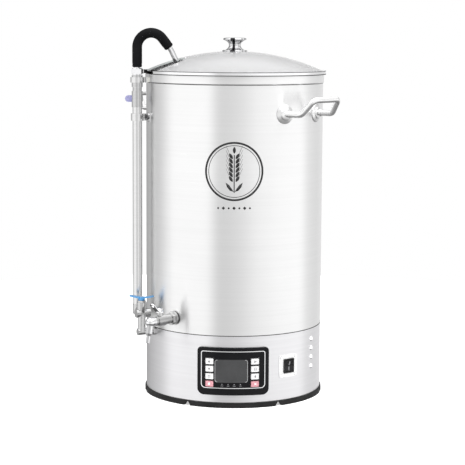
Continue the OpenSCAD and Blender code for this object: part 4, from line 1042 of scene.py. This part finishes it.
for (side, row), shapes in keyMarks.items():
    bm = bmesh.new()
    az = math.degrees(panel["keysX"][side == "right"] / wallR)
    for n, shape in enumerate(shapes):
        lift = panel["lift"] * (1 + 2 * n)  # crossing bars don't share a face
        wrapped(bm, shape, az, panel["keyR"] + lift, keyZs[row - 1], panel["ink"])
    body = bodyOfNode["button_%s_%d" % (side, row)]
    addPiece("mark_%s_%d" % (side, row), bm, "markWhite" if row == 4 else "markAndSheenGrey", body, 0)
print("prints done")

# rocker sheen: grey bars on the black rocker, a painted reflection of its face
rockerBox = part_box("switch_rocker")
rockerMid = (rockerBox[0] + rockerBox[1]) / 2
switchAz = math.degrees(math.atan2(rockerMid.x, -rockerMid.y))
rocker = {
    "bar": (0.0030, 0.0088), "round": 0.0008, "barUp": 0.0062, "lean": (0.0032, 0.0004), "face": 0.0029,
    "barLow": 0.00002, "barHigh": 0.00028,
}


# a grey bar on one sloping half of the rocker, a painted reflection standing in for the sheen on its face
def rockerSheenBar(bm, middle):
    half = (rockerBox[1].z - rockerBox[0].z) / 2 - 0.0012
    low, high = [], []
    for u, v in roundRect(*rocker["bar"], rocker["round"], None, 3):
        rise = (rocker["lean"][0] if middle > 0 else -rocker["lean"][1]) * abs(middle + v) / half
        for row, lift in ((low, rocker["barLow"]), (high, rocker["barHigh"])):
            spot = atAz(switchAz, wallR + rocker["face"] + rise + lift, rockerMid.z + middle + v)
            row.append(bm.verts.new(spot + alongWall(switchAz) * u))
    bm.faces.new(high)
    bm.faces.new(list(reversed(low)))
    for k in range(len(low)):
        m = (k + 1) % len(low)
        bm.faces.new((low[k], low[m], high[m], high[k]))


bm = bmesh.new()
for middle in (rocker["barUp"], -rocker["barUp"]):
    rockerSheenBar(bm, middle)
addPiece("rocker_painted_sheen", bm, "markAndSheenGrey", "rocker", 0)

# floor and light
ground = {"r": 1.7, "tone": 0.93, "glow": 0.5, "rough": (0.55, 0.7), "patches": (3, 3, 3), "grain": 2.0}
bm = bmesh.new()
bmesh.ops.create_circle(bm, cap_ends=True, segments=96, radius=ground["r"])
mesh = bpy.data.meshes.new("studioFloor")
bm.to_mesh(mesh)
bm.free()
floor = bpy.data.objects.new("studioFloor", mesh)
bpy.context.scene.collection.objects.link(floor)
mat, tree, shader = startMaterial("paleFloor", 0.0)
soft = ramp(tree, noise(tree, stretched(tree, ground["patches"]), ground["grain"]), 0.3, 0.7, *ground["rough"])
link(tree, soft, shader.inputs["Roughness"])
shader.inputs["Base Color"].default_value = (*grey(ground["tone"]), 1)
shader.inputs["Emission Color"].default_value = (1, 1, 1, 1)
shader.inputs["Emission Strength"].default_value = ground["glow"]
mesh.materials.append(mat)
floor.visible_glossy = False  # the polished steel mirrors the studio, not the floor

# soft studio: strength by bearing round the kettle, and by height above the horizon
studio = {
    "bearings": [
        (-180, 0.90), (-164, 0.36), (-132, 0.58), (-108, 0.80), (-88, 1.22), (-34, 1.26), (-20, 0.80), (-8, 0.84),
        (10, 0.94), (30, 1.14), (60, 1.24), (98, 1.24), (112, 0.92), (135, 0.78), (158, 0.80), (180, 0.90),
    ],
    # sine of the height, strength: dark ground, level panels, dark gap, bright ceiling
    "levels": [
        (-1.0, 0.22), (-0.50, 0.24), (-0.30, 0.95), (-0.22, 1.0), (0.10, 1.0),
        (0.20, 0.64), (0.42, 0.58), (0.60, 1.60), (1.0, 1.75),
    ],
    "strength": 2.06,
}
world = bpy.data.worlds.new("studioWorld")
bpy.context.scene.world = world
world.use_nodes = True
sky = world.node_tree
sky.nodes.clear()


def strengthRamp(value, stops):
    node = sky.nodes.new("ShaderNodeValToRGB")
    link(sky, value, node.inputs["Fac"])
    while len(node.color_ramp.elements) < len(stops):
        node.color_ramp.elements.new(0.5)
    for element, (at, v) in zip(node.color_ramp.elements, stops):
        element.position = at
        element.color = (v, v, v, 1)
    return node.outputs["Color"]


coord = sky.nodes.new("ShaderNodeTexCoord")
split = sky.nodes.new("ShaderNodeSeparateXYZ")
link(sky, coord.outputs["Generated"], split.inputs["Vector"])
around = math2(sky, "ARCTAN2", split.outputs["X"], math2(sky, "MULTIPLY", split.outputs["Y"], -1.0))
bearing = math2(sky, "ADD", math2(sky, "DIVIDE", around, 2 * math.pi), 0.5)
height = math2(sky, "ADD", math2(sky, "MULTIPLY", split.outputs["Z"], 0.5), 0.5)
tone = strengthRamp(bearing, [(0.5 + b / 360, v / 2) for b, v in studio["bearings"]])
tier = strengthRamp(height, [(0.5 + h / 2, v / 2) for h, v in studio["levels"]])
both = sky.nodes.new("ShaderNodeMix")
both.data_type = "RGBA"
both.blend_type = "MULTIPLY"
both.inputs[0].default_value = 1.0
link(sky, tone, both.inputs[6])
link(sky, tier, both.inputs[7])
studioLight = sky.nodes.new("ShaderNodeBackground")
studioLight.inputs["Strength"].default_value = 2 * studio["strength"]
link(sky, both.outputs[2], studioLight.inputs["Color"])
plainWhite = sky.nodes.new("ShaderNodeBackground")
plainWhite.inputs["Color"].default_value = (1, 1, 1, 1)
lightPath = sky.nodes.new("ShaderNodeLightPath")
mixer = sky.nodes.new("ShaderNodeMixShader")
link(sky, lightPath.outputs["Is Camera Ray"], mixer.inputs[0])
link(sky, studioLight.outputs[0], mixer.inputs[1])
link(sky, plainWhite.outputs[0], mixer.inputs[2])
skyOut = sky.nodes.new("ShaderNodeOutputWorld")
link(sky, mixer.outputs[0], skyOut.inputs["Surface"])
bpy.context.scene.view_settings.view_transform = "Standard"


topSoft = {"place": (0, -0.6, 3.4), "target": (0, 0, 0.4), "size": (2.6, 2.6), "power": 40}
data = bpy.data.lights.new("topSoft", "AREA")
data.shape = "RECTANGLE"
data.size, data.size_y = topSoft["size"]
data.energy = topSoft["power"]
obj = bpy.data.objects.new("topSoft", data)
bpy.context.scene.collection.objects.link(obj)
obj.location = topSoft["place"]
toTarget = Vector(topSoft["target"]) - Vector(topSoft["place"])
obj.rotation_euler = toTarget.to_track_quat("-Z", "Y").to_euler()
print("stage and light done")
